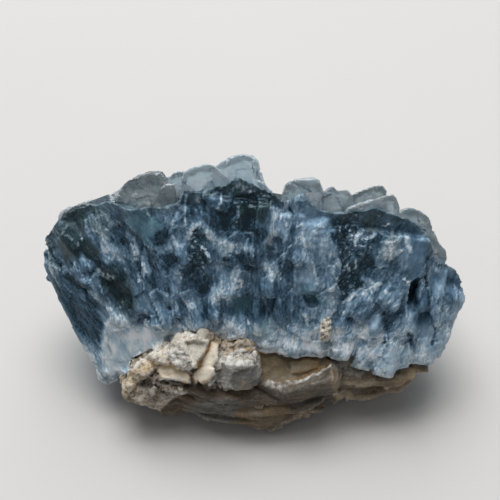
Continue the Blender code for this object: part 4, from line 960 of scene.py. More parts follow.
# crystals behind the crest: name, how far out, how thick, tilt, frost, shade, and outline across and up the face
plates = [
    ("greenWrinkledBlock", -2.0, 7.0, -6, 0.8, 0.72, [
        (-29.3, 27.9), (-28.4, 29.9), (-27.6, 32.3), (-26.1, 34.6), (-24.1, 36.0), (-22.0, 37.6), (-20.2, 38.3),
        (-18.6, 38.2), (-17.4, 36.9), (-17.0, 34.5), (-17.1, 31.3), (-19.0, 25.0), (-24.8, 23.8), (-28.5, 24.0)]),
    ("narrowEnd", -1.8, 4.0, 10, 0.5, 0.5, [
        (-18.6, 34.9), (-17.4, 35.7), (-16.0, 35.7), (-15.4, 33.2), (-15.5, 26.3), (-18.7, 26.3)]),
    ("frostedPlate", -2.4, 4.6, 4, 0.5, 0.0, [
        (-15.2, 33.2), (-14.8, 35.3), (-14.0, 38.2), (-13.0, 39.0), (-11.2, 39.6), (-9.4, 40.0), (-7.8, 39.8),
        (-6.2, 38.8), (-4.8, 37.3), (-4.4, 34.9), (-6.0, 28.0), (-9.6, 27.0), (-13.6, 28.0)]),
    ("tallWedge", -3.6, 6.0, -3, 0.3, 0.1, [
        (-8.6, 36.9), (-7.8, 39.4), (-6.4, 40.6), (-4.0, 41.7), (-1.8, 42.1), (-0.2, 41.7), (1.0, 40.6), (1.6, 38.2),
        (2.4, 35.7), (3.8, 34.2), (3.0, 27.4), (-1.6, 26.0), (-7.6, 28.5)]),
    ("roundedBlock", -2.0, 6.0, 5, 0.8, 0.28, [
        (5.9, 31.5), (6.1, 33.8), (6.6, 35.7), (7.8, 36.5), (9.8, 36.7), (12.1, 36.9), (13.5, 36.3), (14.1, 34.5),
        (14.5, 30.0), (13.1, 25.5), (8.5, 25.9)]),
    ("smallEnds", -2.6, 4.0, -8, 0.5, 0.5, [
        (13.5, 33.2), (14.7, 34.5), (16.1, 35.5), (17.1, 34.5), (19.1, 34.5), (20.3, 33.2), (20.7, 29.0),
        (19.0, 25.1), (15.3, 25.8)]),
    ("backPlate", -4.6, 3.4, 8, 0.4, 0.66, [
        (18.3, 31.5), (19.5, 33.2), (21.9, 34.5), (24.3, 35.5), (26.3, 35.5), (27.1, 34.5), (27.2, 30.0),
        (23.6, 26.3), (18.5, 26.5)]),
    ("frontPlate", -1.8, 3.6, 3, 0.7, 0.1, [
        (17.9, 29.5), (19.1, 30.7), (21.5, 31.8), (24.5, 32.8), (27.1, 33.6), (28.7, 33.6), (29.8, 32.5),
        (30.6, 30.3), (30.2, 25.8), (27.6, 24.0), (22.8, 25.1), (18.6, 26.6)]),
    ("rightEnd", -2.2, 5.5, -5, 0.6, 0.5, [
        (29.6, 27.7), (30.2, 29.4), (31.7, 29.8), (33.3, 29.5), (34.9, 28.4), (36.6, 26.4), (37.3, 23.7),
        (38.2, 20.9), (39.9, 18.3), (40.3, 16.5), (39.0, 12.5), (36.1, 13.0), (33.9, 17.5), (31.0, 22.0)]),
    ("leftDome", -2.2, 6.0, 0, 0.9, 0.9, [
        (-42.1, 15.7), (-41.4, 18.8), (-39.7, 22.2), (-37.6, 24.5), (-35.1, 26.1), (-33.0, 26.7), (-31.0, 26.5),
        (-30.4, 22.3), (-34.2, 17.7), (-39.0, 13.6)]),
    ("clearLeft", -4.6, 2.6, -6, 1.3, 0.0, [
        (-41.8, 19.2), (-41.2, 21.8), (-39.3, 24.0), (-36.1, 26.1), (-33.0, 28.0), (-30.1, 30.5), (-27.8, 33.1),
        (-26.3, 34.5), (-26.0, 31.1), (-25.2, 24.3), (-31.0, 20.8), (-37.9, 16.8)]),
    ("clearMiddle", -4.4, 2.6, 6, 1.3, 0.0, [
        (-18.0, 35.7), (-17.2, 37.1), (-16.0, 38.4), (-14.2, 38.6), (-13.2, 38.2), (-12.2, 30.5), (-17.6, 30.0)]),
]
plateShape = {
    "rings": [(0.0, 0.975), (0.10, 1.0), (0.80, 0.97), (1.0, 0.86)],  # share of the thickness, and scale
    "chips": (-0.05, 0.02), "uneven": 0.25,
    "rise": 0.277,  # how far a place goes up for each millimetre out, so that it looks the same from the camera
}

# crystals that fan out to the back: foot, top, width, depth, and the way that they face, as in the source
backCrystals = {
    "start": 0.42,  # share of the length that lies inside the mass
    "fillWithin": 13.5,  # neighbours nearer than this have a smaller crystal between them
    "fillFrom": 4.0,  # but only this far to the back
    "section": [(0.5, 0.0), (0.30, 0.5), (-0.30, 0.5), (-0.5, 0.0), (-0.30, -0.5), (0.30, -0.5)],
    "rows": [
        ((-17.2, 0.2, 14.0), (-31.7, 10.4, 36.0), 10.0, 7.0, (-0.22, -0.92, 0.31)),
        ((0.8, 1.2, 14.0), (3.4, 13.0, 32.0), 8.0, 8.0, (-0.42, -0.79, 0.44)),
        ((19.8, -5.8, 12.0), (36.4, 4.0, 25.2), 8.0, 8.0, (-0.22, -0.75, 0.62)),
        ((20.8, -5.8, 12.0), (40.0, 1.2, 20.0), 8.0, 8.0, (0.1, -0.96, 0.27)),
        ((-13.8, -0.8, 12.0), (-27.3, 9.8, 29.9), 11.1, 8.7, (-0.15, -0.08, 0.99)),
        ((-9.2, -0.8, 12.0), (-18.2, 13.2, 34.7), 12.6, 10.9, (-0.06, 0.13, 0.99)),
        ((-3.4, -0.8, 12.0), (-6.7, 17.3, 33.1), 12.4, 8.4, (-0.13, 0.23, 0.96)),
        ((1.1, -0.8, 12.0), (1.6, 15.6, 31.0), 11.0, 10.1, (0.27, 0.33, 0.9)),
        ((6.6, -0.8, 12.0), (12.6, 15.2, 30.6), 10.6, 8.5, (0.07, 0.3, 0.95)),
        ((11.8, -0.8, 12.0), (23.8, 12.0, 31.3), 11.9, 11.5, (0.18, 0.19, 0.97)),
        ((16.2, -0.8, 12.0), (32.6, 5.3, 29.8), 12.4, 9.9, (0.1, 0.41, 0.91)),
        ((-18.0, -0.8, 12.0), (-35.7, 11.2, 24.0), 11.0, 11.0, (0.19, 0.64, 0.75)),
        ((-13.2, -0.8, 12.0), (-26.1, 17.8, 26.6), 12.4, 11.3, (-0.04, 0.17, 0.99)),
        ((-7.2, -0.8, 12.0), (-14.2, 19.9, 27.3), 12.7, 8.9, (0.11, 0.29, 0.95)),
        ((-1.5, -0.8, 12.0), (-3.9, 23.7, 26.0), 10.6, 9.8, (0.12, 0.29, 0.95)),
        ((4.1, -0.8, 12.0), (8.0, 19.6, 24.4), 12.6, 8.8, (0.2, 0.27, 0.94)),
        ((8.9, -0.8, 12.0), (17.4, 17.8, 26.4), 12.2, 9.8, (0.48, 0.19, 0.86)),
        ((15.0, -0.8, 12.0), (30.1, 12.7, 25.5), 12.1, 8.4, (0.09, 0.29, 0.95)),
        ((-14.8, -0.8, 12.0), (-29.5, 14.3, 13.7), 13.7, 9.0, (0.13, 0.32, 0.94)),
        ((-9.9, -0.8, 12.0), (-19.7, 19.2, 15.6), 12.4, 11.3, (0.26, 0.38, 0.89)),
        ((-4.7, -0.8, 12.0), (-9.1, 22.9, 16.7), 10.8, 11.5, (0.23, 0.32, 0.92)),
        ((1.5, -0.8, 12.0), (3.2, 22.9, 17.0), 12.7, 10.8, (0.45, 0.28, 0.85)),
        ((6.4, -0.8, 12.0), (13.0, 22.8, 18.9), 10.5, 8.9, (0.03, 0.3, 0.95)),
        ((11.6, -0.8, 12.0), (23.5, 16.9, 15.1), 12.5, 10.6, (-0.2, 0.5, 0.84)),
        ((17.7, -0.8, 12.0), (35.6, 12.1, 15.0), 10.8, 9.3, (-0.04, 0.49, 0.87)),
    ],
}


def clearMaterial(name, look):
    material, tree, shader = makeMaterial(name)
    place = addPlace(tree)
    frost, shade = addAttribute(tree, "frost"), addAttribute(tree, "shade")
    veil, crumbs = addNoise(tree, place, 0.30, 4.0, 0.62), addNoise(tree, place, 1.7, 4.0, 0.65)
    width, length = clearLook["streak"]
    turned = addMapping(tree, place, (1, 1, 1), clearLook["streakTurn"])
    lines = addGroup(tree, streaks, {"Vector": turned, "Width": width, "Length": length})
    marked = addTimes(tree, addMath(tree, "MAXIMUM", lines["Strokes"], lines["Veins"]),
                      addRange(tree, veil, 0.40, 0.60))
    cloud = addMath(tree, "MULTIPLY_ADD", marked, addTimes(tree, frost, clearLook["markShare"]),
                    addMask(tree, addRange(tree, veil, 0.46, 0.66), frost), clamp=True)
    bright = addMix(tree, cloud, look["bright"], clearLook["frostBright"])
    dim = addMix(tree, cloud, look["dim"], clearLook["frostDim"])
    speckle = addTimes(tree, addRange(tree, crumbs, 0.46, 0.34), addTimes(tree, frost, shade))
    height = addSum(tree, lines["Fibres"], 0.6, addSum(tree, crumbs, 0.6, veil))
    fill(tree, shader, {
        "Base Color": addMix(tree, speckle, addMix(tree, shade, bright, dim), clearLook["speckle"]),
        "Roughness": addSum(tree, cloud, clearLook["frostRough"], look["rough"]),
        "Normal": addBump(tree, addTimes(tree, height, frost), *clearLook["bump"])})
    finishCrystal(tree, shader, look)
    return material


def plateCrystal(name, out, thick, tilt, outline, chance):  # an outline given a thickness, with slanted sides
    outline, tilt = [Vector(point) for point in outline], math.tan(math.radians(tilt))
    middle = sum(outline, Vector((0.0, 0.0))) / len(outline)
    chips = [chance.uniform(*plateShape["chips"]) for _ in outline]
    points = []
    for depth, scale in plateShape["rings"]:
        for corner, chip in zip(outline, chips):
            spot = middle + (corner - middle) * (scale + (chip if depth == 0.0 else 0.0))
            uneven = chance.uniform(-plateShape["uneven"], plateShape["uneven"])
            level = out - depth * thick + (spot.y - middle.y) * tilt + uneven
            points.append(placeOnFace(spot.x, spot.y + plateShape["rise"] * level, level))
    sides, ends = ringFaces(len(outline), len(plateShape["rings"]) - 1)
    return newPiece(name, points, [side[:1] + side[:0:-1] for side in sides] + [end[::-1] for end in ends])


def prismCrystal(name, foot, top, width, depth, facing, chance):  # a six-sided crystal with a wedge end
    foot, top, facing = Vector(foot), Vector(top), Vector(facing)
    foot = foot + (top - foot) * backCrystals["start"]
    along = (top - foot).normalized()
    side = along.cross(facing).normalized()
    front = side.cross(along)
    length = (top - foot).length
    points = []
    for share, scale in ((0.0, 0.9), (chance.uniform(0.68, 0.84), 1.0)):
        for across, deep in backCrystals["section"]:
            jitter = scale * (1 + chance.uniform(-0.08, 0.08))
            spot = foot + along * length * share + side * across * width * jitter
            points.append(spot + front * deep * depth * jitter)
    shift, ridge = chance.uniform(-0.1, 0.1), chance.uniform(-0.12, 0.12)
    points += [top + side * (across + shift) * width + front * ridge * depth for across in (-0.30, 0.26)]
    piece = newPiece(name, points, [])
    editMesh(piece, (bpy.ops.mesh.convex_hull, {}))
    return piece


def finishClear(piece, frost, shade, wrinkle, fine):
    editMesh(piece, (bpy.ops.mesh.normals_make_consistent, {"inside": False}))
    soften = piece.modifiers.new("edges", "BEVEL")
    soften.width, soften.segments, soften.limit_method = (0.16 if fine else 0.09) * mm, 2, "ANGLE"
    soften.angle_limit = math.radians(14)
    if fine:
        grain = piece.modifiers.new("grain", "REMESH")
        grain.mode, grain.voxel_size = "VOXEL", 0.32 * mm
    else:
        net = piece.modifiers.new("net", "SUBSURF")
        net.subdivision_type, net.levels, net.render_levels = "SIMPLE", 1, 1
    applyModifiers(piece)
    points, normals = readMesh(piece)
    move = 0.16 * noiseAt(points, 1.7) + 0.30 * noiseAt(points, 4.2)
    if fine:
        move += 0.42 * facets(points, 4.2, 61) + (0.12 * facets(points, 1.5, 67) + 0.05 * noiseAt(points, 0.7)) * frost
    writePoints(piece, points + normals * (wrinkle * move)[:, None])
    writeAttributes(piece, frost=frost, shade=shade)


def joined(name, made, material):
    bpy.ops.object.select_all(action="DESELECT")
    for piece in made:
        piece.select_set(True)
    bpy.context.view_layer.objects.active = made[0]
    bpy.ops.object.join()
    piece = bpy.context.view_layer.objects.active
    piece.name = piece.data.name = name
    makeActive(piece)
    bpy.ops.object.shade_smooth_by_angle(angle=math.radians(24))
    piece.data.materials.append(material)
    print(name, "made:", len(piece.data.polygons), "faces")
    return piece


def makeTipCrystals():
    chance, made = random.Random(5), []
    for name, out, thick, tilt, frost, shade, outline in plates:
        piece = plateCrystal(name, out, thick, tilt, outline, chance)
        finishClear(piece, frost, shade, min(0.45 + 0.5 * frost, 0.8), True)
        made.append(piece)
    return joined("tipCrystals", made, clearMaterial("celestite milky", tipLook))


def makeBackCrystals():
    chance, made, rows = random.Random(9), [], list(backCrystals["rows"])
    # smaller crystals in the gaps between neighbours
    for first, (foot, top, *_) in enumerate(backCrystals["rows"]):
        for otherFoot, otherTop, _, _, facing in backCrystals["rows"][first + 1:]:
            apart = (Vector(top) - Vector(otherTop)).length
            if apart < backCrystals["fillWithin"] and top[1] > backCrystals["fillFrom"]:
                share = chance.uniform(0.86, 0.95)
                start, end = (Vector(foot) + Vector(otherFoot)) / 2, (Vector(top) + Vector(otherTop)) / 2
                width = chance.uniform(4.5, 7.0)
                rows.append((start, start + (end - start) * share, width, width * chance.uniform(0.6, 0.9), facing))
    for number, row in enumerate(rows):
        piece = prismCrystal(f"back{number}", *row, chance)
        finishClear(piece, 0.10 + 0.35 * chance.random(), 0.5 * chance.random(), 0.10, False)
        made.append(piece)
    return joined("backCrystals", made, clearMaterial("celestite clear", fanLook))


# the rock
rockLook = {
    "voxel": 0.36,
    "grow": 0.34,  # covers the gap that the source keeps between the rock and the crystals
    "tint": (0.30, 0.235, 0.16), "crust": 0.14, "layered": 0.45, "calm": 0.1,  # where no region lies
    "bedStep": 2.3,
    # regions as the camera sees them: colour, how much crust, layers and calm, how far made plane, lift, outline
    "regions": [
        # painted shade: the belly's dark brown is made darker still, as the underside faces down into shade
        ("belly", (0.155, 0.122, 0.09), 0.0, 1.0, 0.8, 0.0, 0.0, [
            (-23.0, -26.7), (-18.5, -25.0), (-7.2, -25.0), (2.5, -25.9), (16.4, -23.0), (19.5, -25.0), (20.5, -31.8),
            (10.3, -33.2), (3.1, -36.9), (-5.1, -35.7), (-15.4, -34.5), (-20.5, -33.7), (-24.2, -30.4)]),
        ("greyUnder", (0.17, 0.165, 0.15), 0.0, 0.7, 0.9, 0.0, 0.0, [
            (-13.1, -31.6), (-7.2, -30.4), (0.0, -31.2), (2.5, -32.8), (0.0, -34.5), (-5.7, -35.1), (-11.1, -34.7)]),
        ("lobe", (0.21, 0.155, 0.095), 0.0, 0.5, 0.95, 0.0, 0.0, [
            (-3.7, -33.7), (0.0, -31.6), (4.5, -31.2), (8.2, -31.6), (7.0, -34.5), (2.9, -36.5), (-1.2, -36.5)]),
        ("greyFlank", (0.125, 0.112, 0.094), 0.0, 0.8, 0.85, 0.0, 0.0, [
            (2.5, -27.5), (8.6, -28.3), (12.7, -25.9), (17.2, -23.8), (19.5, -26.3), (18.5, -30.8), (14.4, -31.6),
            (10.3, -32.4), (6.2, -31.2), (2.5, -30.4)]),
        ("shelf", (0.27, 0.215, 0.15), 0.0, 0.9, 0.8, 0.0, 0.0, [
            (18.1, -21.5), (20.9, -23.2), (23.4, -24.8), (27.1, -25.9), (30.4, -25.4), (31.6, -23.8), (33.2, -25.9),
            (32.8, -29.5), (25.0, -30.0), (20.1, -31.6), (17.6, -31.2), (16.4, -25.0)]),
        ("shelfTop", (0.33, 0.3, 0.25), 0.15, 0.5, 0.6, 0.0, 0.0, [
            (16.0, -22.2), (18.5, -21.5), (20.9, -23.4), (23.8, -25.0), (22.6, -26.3), (19.3, -25.4),
            (16.8, -24.2)]),
        ("shelfPale", (0.42, 0.33, 0.21), 0.0, 0.2, 0.9, 0.0, 0.0, [
            (17.2, -30.0), (18.5, -28.9), (20.9, -29.1), (21.3, -30.8), (19.7, -31.6)]),
        ("shelfOrange", (0.31, 0.235, 0.15), 0.0, 0.5, 0.85, 0.0, 0.0, [
            (26.3, -26.3), (30.0, -25.9), (32.8, -25.9), (32.6, -29.1), (29.5, -29.5), (26.7, -28.7)]),
        ("ledgeTip", (0.34, 0.25, 0.155), 0.0, 0.5, 0.8, 0.0, 0.0, [
            (30.4, -24.2), (31.6, -23.4), (34.5, -24.2), (36.9, -24.6), (36.5, -25.9), (32.8, -26.5),
            (30.8, -25.9)]),
        ("knob", (0.38, 0.3, 0.215), 0.45, 0.0, 0.0, 0.0, 0.0, [
            (-25.0, -29.1), (-23.0, -26.9), (-20.5, -25.2), (-18.9, -24.2), (-18.3, -26.3), (-14.4, -27.3),
            (-13.1, -28.9), (-16.0, -30.4), (-17.6, -31.6), (-18.5, -33.4), (-20.5, -33.4), (-22.4, -31.4)]),
        ("goldenLeft", (0.62, 0.43, 0.2), 0.5, 0.0, 0.15, 0.0, 0.0, [
            (-28.7, -25.4), (-24.4, -24.6), (-22.0, -22.8), (-19.9, -20.3), (-18.3, -22.2), (-18.9, -24.0),
            (-20.9, -25.6), (-23.0, -27.1), (-25.0, -30.0), (-27.5, -28.7)]),
        ("creamTop", (0.97, 0.88, 0.72), 0.85, 0.0, 0.45, 0.0, 0.0, [
            (-21.3, -21.8), (-18.5, -18.9), (-16.2, -17.0), (-13.7, -16.6), (-10.9, -17.6), (-8.6, -18.5),
            (-9.0, -20.5), (-10.5, -22.6), (-11.9, -25.4), (-14.4, -25.0), (-16.8, -23.8), (-18.9, -23.0)]),
        ("brownCap", (0.46, 0.32, 0.16), 0.45, 0.0, 0.3, 0.0, 0.0, [
            (-6.4, -19.3), (-5.7, -18.1), (-3.3, -17.9), (-0.8, -18.9), (0.8, -20.5), (-2.1, -20.3), (-4.5, -21.5),
            (-6.4, -20.9)]),
        ("greyPatch", (0.48, 0.455, 0.385), 0.2, 0.0, 0.9, 0.8, 0.0, [
            (-13.1, -18.9), (-9.6, -19.1), (-8.8, -20.3), (-10.3, -21.8), (-11.1, -23.4), (-12.3, -21.8)]),
        ("whiteCoral", (1.0, 0.97, 0.9), 1.0, 0.0, 0.0, 0.0, 0.2, [
            (-17.0, -20.7), (-15.4, -19.7), (-13.5, -20.3), (-12.3, -22.4), (-11.1, -24.0), (-12.1, -25.2),
            (-14.4, -24.2), (-16.2, -23.4), (-17.2, -22.2)]),
        ("tanSlab", (0.9, 0.77, 0.59), 0.0, 0.0, 1.0, 0.9, 0.5, [
            (-18.9, -23.4), (-16.4, -23.4), (-14.8, -24.2), (-12.9, -25.0), (-12.1, -26.1), (-12.5, -27.3),
            (-15.2, -26.9), (-18.5, -26.3), (-19.1, -24.6)]),
        ("tanWedge", (0.92, 0.83, 0.67), 0.0, 0.0, 1.0, 0.9, 0.2, [
            (-8.2, -18.9), (-6.6, -19.3), (-6.4, -20.9), (-7.2, -23.4), (-8.0, -26.7), (-9.2, -27.1), (-11.5, -27.2),
            (-12.1, -25.6), (-10.5, -23.8), (-9.6, -21.8), (-8.8, -20.3)]),
        ("greyBlockTop", (0.45, 0.45, 0.41), 0.8, 0.0, 0.3, 0.5, 0.25, [
            (-6.4, -21.1), (-4.5, -20.7), (-1.8, -19.5), (0.2, -20.1), (1.6, -21.3), (2.1, -23.8), (0.0, -24.2),
            (-2.1, -24.2), (-4.9, -23.8), (-7.0, -23.4)]),
        ("greyBlockFront", (0.5, 0.505, 0.475), 0.2, 0.2, 0.35, 0.45, 0.2, [
            (-7.0, -23.4), (-4.9, -23.8), (-2.1, -24.2), (0.0, -24.2), (2.1, -23.8), (2.7, -26.1), (0.4, -27.5),
            (-2.9, -28.3), (-5.7, -28.3), (-7.8, -27.3)]),
        ("greyBlockSide", (0.17, 0.175, 0.165), 0.05, 0.3, 0.5, 0.0, 0.0, [
            (-3.0, -24.4), (0.0, -24.3), (2.3, -23.8), (2.9, -26.1), (0.4, -27.7), (-2.9, -28.5), (-4.3, -27.0)]),
        ("scoop", (0.19, 0.145, 0.088), 0.0, 0.35, 1.0, 0.6, -0.6, [
            (1.8, -21.5), (4.1, -20.9), (8.0, -20.5), (10.7, -20.3), (13.5, -20.9), (15.8, -21.8), (16.4, -23.0),
            (14.8, -24.4), (12.3, -25.9), (10.3, -26.9), (7.2, -27.5), (3.7, -27.5), (2.3, -25.9)]),
        ("scoopLight", (0.25, 0.195, 0.125), 0.0, 0.2, 1.0, 0.0, 0.0, [
            (8.2, -23.0), (11.1, -22.2), (14.4, -22.6), (14.0, -24.2), (11.1, -25.4), (8.6, -25.4)]),
    ],
    # regions whose face leans up to the light: how far it comes forward for each millimetre down
    "leans": {"tanSlab": 0.75, "tanWedge": 0.38, "greyBlockTop": 0.15, "whiteCoral": 0.45, "creamTop": 0.30,
              "goldenLeft": 0.25, "knob": 0.15, "greyPatch": 0.3},
    # rims, cracks and a painted shadow: colour, reach, line
    "lineColours": {"white": (0.90, 0.88, 0.82), "gold": (0.40, 0.235, 0.075), "dark": (0.05, 0.032, 0.02)},
    "lines": [
        ("white", 0.48, [(-18.5, -26.3), (-16.4, -26.5), (-14.4, -26.7), (-12.5, -27.1)]),
        ("white", 0.42, [(-6.4, -20.9), (-7.2, -23.4), (-7.6, -25.4), (-8.0, -27.3)]),
        ("white", 0.48, [(-4.5, -20.9), (-2.5, -20.7), (-0.4, -20.5), (1.4, -21.3)]),
        ("white", 0.72, [(-4.9, -22.2), (-3.9, -23.2), (-2.9, -24.2), (-2.1, -23.0)]),
        ("white", 0.5, [(3.7, -27.3), (5.3, -27.9), (6.6, -28.3), (7.8, -27.7)]),
        ("white", 0.22, [(8.2, -27.9), (10.3, -27.1), (12.7, -26.1), (14.8, -24.8), (16.4, -23.8)]),
        ("white", 0.45, [
            (-27.1, -25.4), (-24.4, -24.6), (-22.0, -22.8), (-19.9, -20.5), (-18.3, -19.1), (-16.2, -17.4),
            (-13.7, -17.0), (-11.1, -17.9)]),
        ("gold", 0.38, [(-8.0, -18.7), (-8.8, -20.3), (-9.6, -21.8), (-10.5, -23.8), (-11.9, -25.4)]),
        ("gold", 0.35, [(-18.5, -23.0), (-16.4, -23.2), (-14.8, -24.0), (-12.7, -25.0)]),
        ("gold", 0.35, [(-5.3, -21.5), (-3.7, -20.5), (-1.6, -19.9), (0.0, -20.9)]),
        ("gold", 0.38, [(1.6, -21.3), (4.1, -20.9), (8.0, -20.5), (10.9, -20.3), (13.5, -20.9)]),
        # painted shadow: this dark line under the tan slab's lower edge stands in for the shadow that the ledge casts
        ("dark", 0.45, [(-19.1, -26.7), (-16.4, -27.3), (-14.0, -27.7), (-12.3, -27.9)]),
        ("dark", 0.35, [(-6.6, -19.7), (-4.9, -20.7), (-3.3, -19.7)]),
        ("dark", 0.48, [(-22.2, -27.5), (-20.5, -26.3), (-19.1, -25.0)]),
        ("dark", 0.4, [(14.8, -21.3), (16.4, -22.2), (17.6, -23.0)]),
    ],
    # what the material lays over the tint; the edge colour pales the ridges, partly as pale crust and partly as a
    # painted highlight
    "rust": (0.30, 0.17, 0.07), "greyVeil": (0.46, 0.42, 0.35), "darkBed": (0.065, 0.050, 0.036),
    "paleBed": (0.40, 0.37, 0.32), "goldGrain": (0.42, 0.25, 0.085), "lace": (0.97, 0.95, 0.89),
    # the hollow colour is painted shade, laid where the mesh lies in a hollow
    "fleck": (0.70, 0.62, 0.50), "hollow": (0.16, 0.10, 0.05), "pit": (0.22, 0.14, 0.07), "edge": (0.85, 0.82, 0.75),
    "roughness": (0.92, 0.80), "bump": (0.5, 0.75), "ior": 1.5, "shine": 0.3,
}


def rockMaterial():
    look = rockLook
    material, tree, shader = makeMaterial("tan rock")
    place = addPlace(tree)
    crust, layered, calm, edge, hollow = (
        addAttribute(tree, name) for name in ("crust", "layered", "calm", "edge", "hollow"))
    grain, cloud = addNoise(tree, place, 1.6, 5.0, 0.65), addNoise(tree, place, 0.30, 3.0, 0.55)
    bed = addNoise(tree, addMapping(tree, place, (0.16, 0.16, 1.5), (4, -3, 0)), 1.0, 4.0, 0.6)
    coral = addNoise(tree, place, 1.15, 4.0, 0.65)
    lace = addMath(tree, "ABSOLUTE", addMath(tree, "SUBTRACT", coral, 0.5))
    fleck = addGroup(tree, flecks, {"Vector": place, "Size": 0.5, "Amount": 0.3})["Mask"]

    def within(value, low, high, share):  # where a noise passes a level, inside a share
        return addMask(tree, addRange(tree, value, low, high), share)

    colour = addAttribute(tree, "tint", "Color")
    for name, mask, strength in (
            ("rust", within(cloud, 0.50, 0.66, addMath(tree, "SUBTRACT", 1.0, calm)), 0.55),
            ("greyVeil", addRange(tree, cloud, 0.46, 0.34), 0.35),
            ("darkBed", within(bed, 0.55, 0.42, layered), 0.7),
            ("paleBed", within(bed, 0.60, 0.70, layered), 0.55),
            ("goldGrain", within(grain, 0.54, 0.62, crust), 0.80),
            ("lace", within(lace, 0.075, 0.030, crust), 1.0),
            # painted shade: the hollow colour darkens the places that lie in a hollow of the mesh
            ("fleck", fleck, 0.3), ("hollow", hollow, 0.45),
            ("pit", within(grain, 0.44, 0.38, crust), 0.80)):
        colour = addMix(tree, addMask(tree, mask, strength), colour, look[name])
    mottle = addSum(tree, addMath(tree, "SUBTRACT", grain, 0.5), addSum(tree, calm, -0.6, 1.4), 1.0)
    shade = addSum(tree, addMath(tree, "SUBTRACT", cloud, 0.5), 0.8, mottle)
    colour = addVector(tree, "SCALE", colour, scale=shade)
    height = addTimes(tree, addMath(tree, "ADD", grain, coral), addSum(tree, calm, -0.65, 1.0))
    height = addSum(tree, bed, layered, addSum(tree, within(lace, 0.09, 0.0, crust), 0.45, height))
    fill(tree, shader, {
        # painted highlight: the edge mask pales the ridges of the mesh, partly as pale crust on them
        "Base Color": addMix(tree, addRange(tree, edge, 0.0, 0.9), colour, look["edge"]),
        "Roughness": addRange(tree, calm, 0.0, 1.0, *look["roughness"]),
        "IOR": look["ior"], "Specular IOR Level": look["shine"], "Normal": addBump(tree, height, *look["bump"])})
    return material


def makeRock():
    piece = copyOfNode("matrix_rock", "tanRock")
    remesh(piece, rockLook["voxel"])
    print("rock remeshed:", len(piece.data.polygons), "faces")
    points, normals = readMesh(piece)
    lifted = smooth(0.15, 1.6, points[:, 2])  # the flat that it rests on stays flat
    tint = np.tile(np.array(rockLook["tint"]), (len(points), 1))
    crust, layered, calm = (np.full(len(points), rockLook[name]) for name in ("crust", "layered", "calm"))
    across, up = frontView(points)
    seen = smooth(-0.15, 0.15, normals @ toCamera)
    across = across + 0.30 * noiseAt(points, 1.5)
    up = up + 0.30 * noiseAt(points + 40, 1.5)
    lineColours = {kind: np.array(colour) for kind, colour in rockLook["lineColours"].items()}
    lift, rim, planes, wobble = np.zeros(len(points)), np.zeros(len(points)), [], noiseAt(points + 13, 2.0)
    for name, colour, crustShare, layerShare, calmShare, flat, raised, outline in rockLook["regions"]:
        inside = insideOutline(across, up, outline)
        weight = smooth(-0.35, 0.35, inside) * seen
        tint = blend(tint, weight[:, None], np.array(colour))
        crust, layered, calm = (blend(values, weight, share) for values, share in
                                ((crust, crustShare), (layered, layerShare), (calm, calmShare)))
        lean = rockLook["leans"].get(name, 0.0) * (max(point[1] for point in outline) - up)
        lift = blend(lift, weight, raised + np.maximum(lean, 0.0))
        if calmShare == 1.0:  # golden margins
            margin = 0.55 * weight * smooth(0.9, 0.0, inside + 0.4 * wobble)
            tint = blend(tint, margin[:, None], lineColours["gold"])
        if flat:
            planes.append(weight * flat)
    for kind, reach, line in rockLook["lines"]:
        weight = smooth(reach * 1.4, reach * 0.6, nearLine(across, up, line)) * seen
        weight = weight * smooth(-0.4, 0.1, noiseAt(points + 7, 0.9))
        tint = blend(tint, weight[:, None], lineColours[kind])
        rim = np.maximum(rim, weight) if kind == "white" else rim * (1 - weight)
        crust = crust * (1 - 0.7 * weight)
        lift -= 0.5 * weight * (kind == "dark")
    # chipped stone, sloping beds with ledges, and pits in the crust
    rough = (1 - 0.9 * calm) ** 1.5
    bedPlace = points[:, 2] + 0.10 * points[:, 0] * (points[:, 0] < 10)
    bedPlace = bedPlace + 0.5 * noiseAt(points * np.array([0.3, 0.5, 0.3]), 1.5)
    ledge = (bedPlace / rockLook["bedStep"]) % 1.0
    beds = noiseAt(points * np.array([0.16, 0.16, 1.0]) + 3.0, 1.5)
    hole = pits(points[:, 0] / 1.5, (points[:, 2] - points[:, 1]) / 1.5, 41, 0.6, 0.2, 0.5)
    stone = facets(points * np.array([0.8, 1.0, 1.3]), 3.2, 71)
    chips = facets(points * np.array([0.7, 1.0, 1.5]), 1.0, 83)
    move = (1.0 * stone + 0.40 * chips) * rough + 0.3 * noiseAt(points, 3.5) + 0.10 * noiseAt(points, 0.9)
    crumbly = crust * (0.5 * noiseAt(points, 0.8) - 0.7 * hole)
    move += layered * (0.45 * beds + 0.35 * (ledge - 0.5)) + crumbly + 0.2 * rim
    points = flatten(points + normals * ((rockLook["grow"] + move) * lifted)[:, None], planes)
    points = points + toCamera * (lift * seen * lifted)[:, None]
    points[:, 2] = np.maximum(points[:, 2], 0.0)
    writePoints(piece, points)
    stand, _ = bulge(piece)
    writeAttributes(piece, tint=tint, crust=crust, layered=layered, calm=calm,
                    # the edge mask: ridges made paler, partly pale crust and partly a painted highlight
                    edge=np.clip((stand - 0.05) * 8.0, 0, 0.8) * (0.1 + 0.9 * crust),
                    # painted shade: the hollow mask is strongest where a point lies below its neighbours
                    hollow=np.clip((-stand - 0.02) * 7.0, 0, 1))
    dress(piece, rockMaterial())
    print("rock shaped")
    return piece


# a crumb of the rock that the crystals grew round, standing in the break
crumb = {"across": 14.9, "up": 5.4, "out": 1.05, "half": (1.25, 2.5, 1.2), "lean": 8, "tint": (0.74, 0.67, 0.50),
         "crust": 0.8, "layered": 0.0, "calm": 0.1, "pitCell": 0.9}


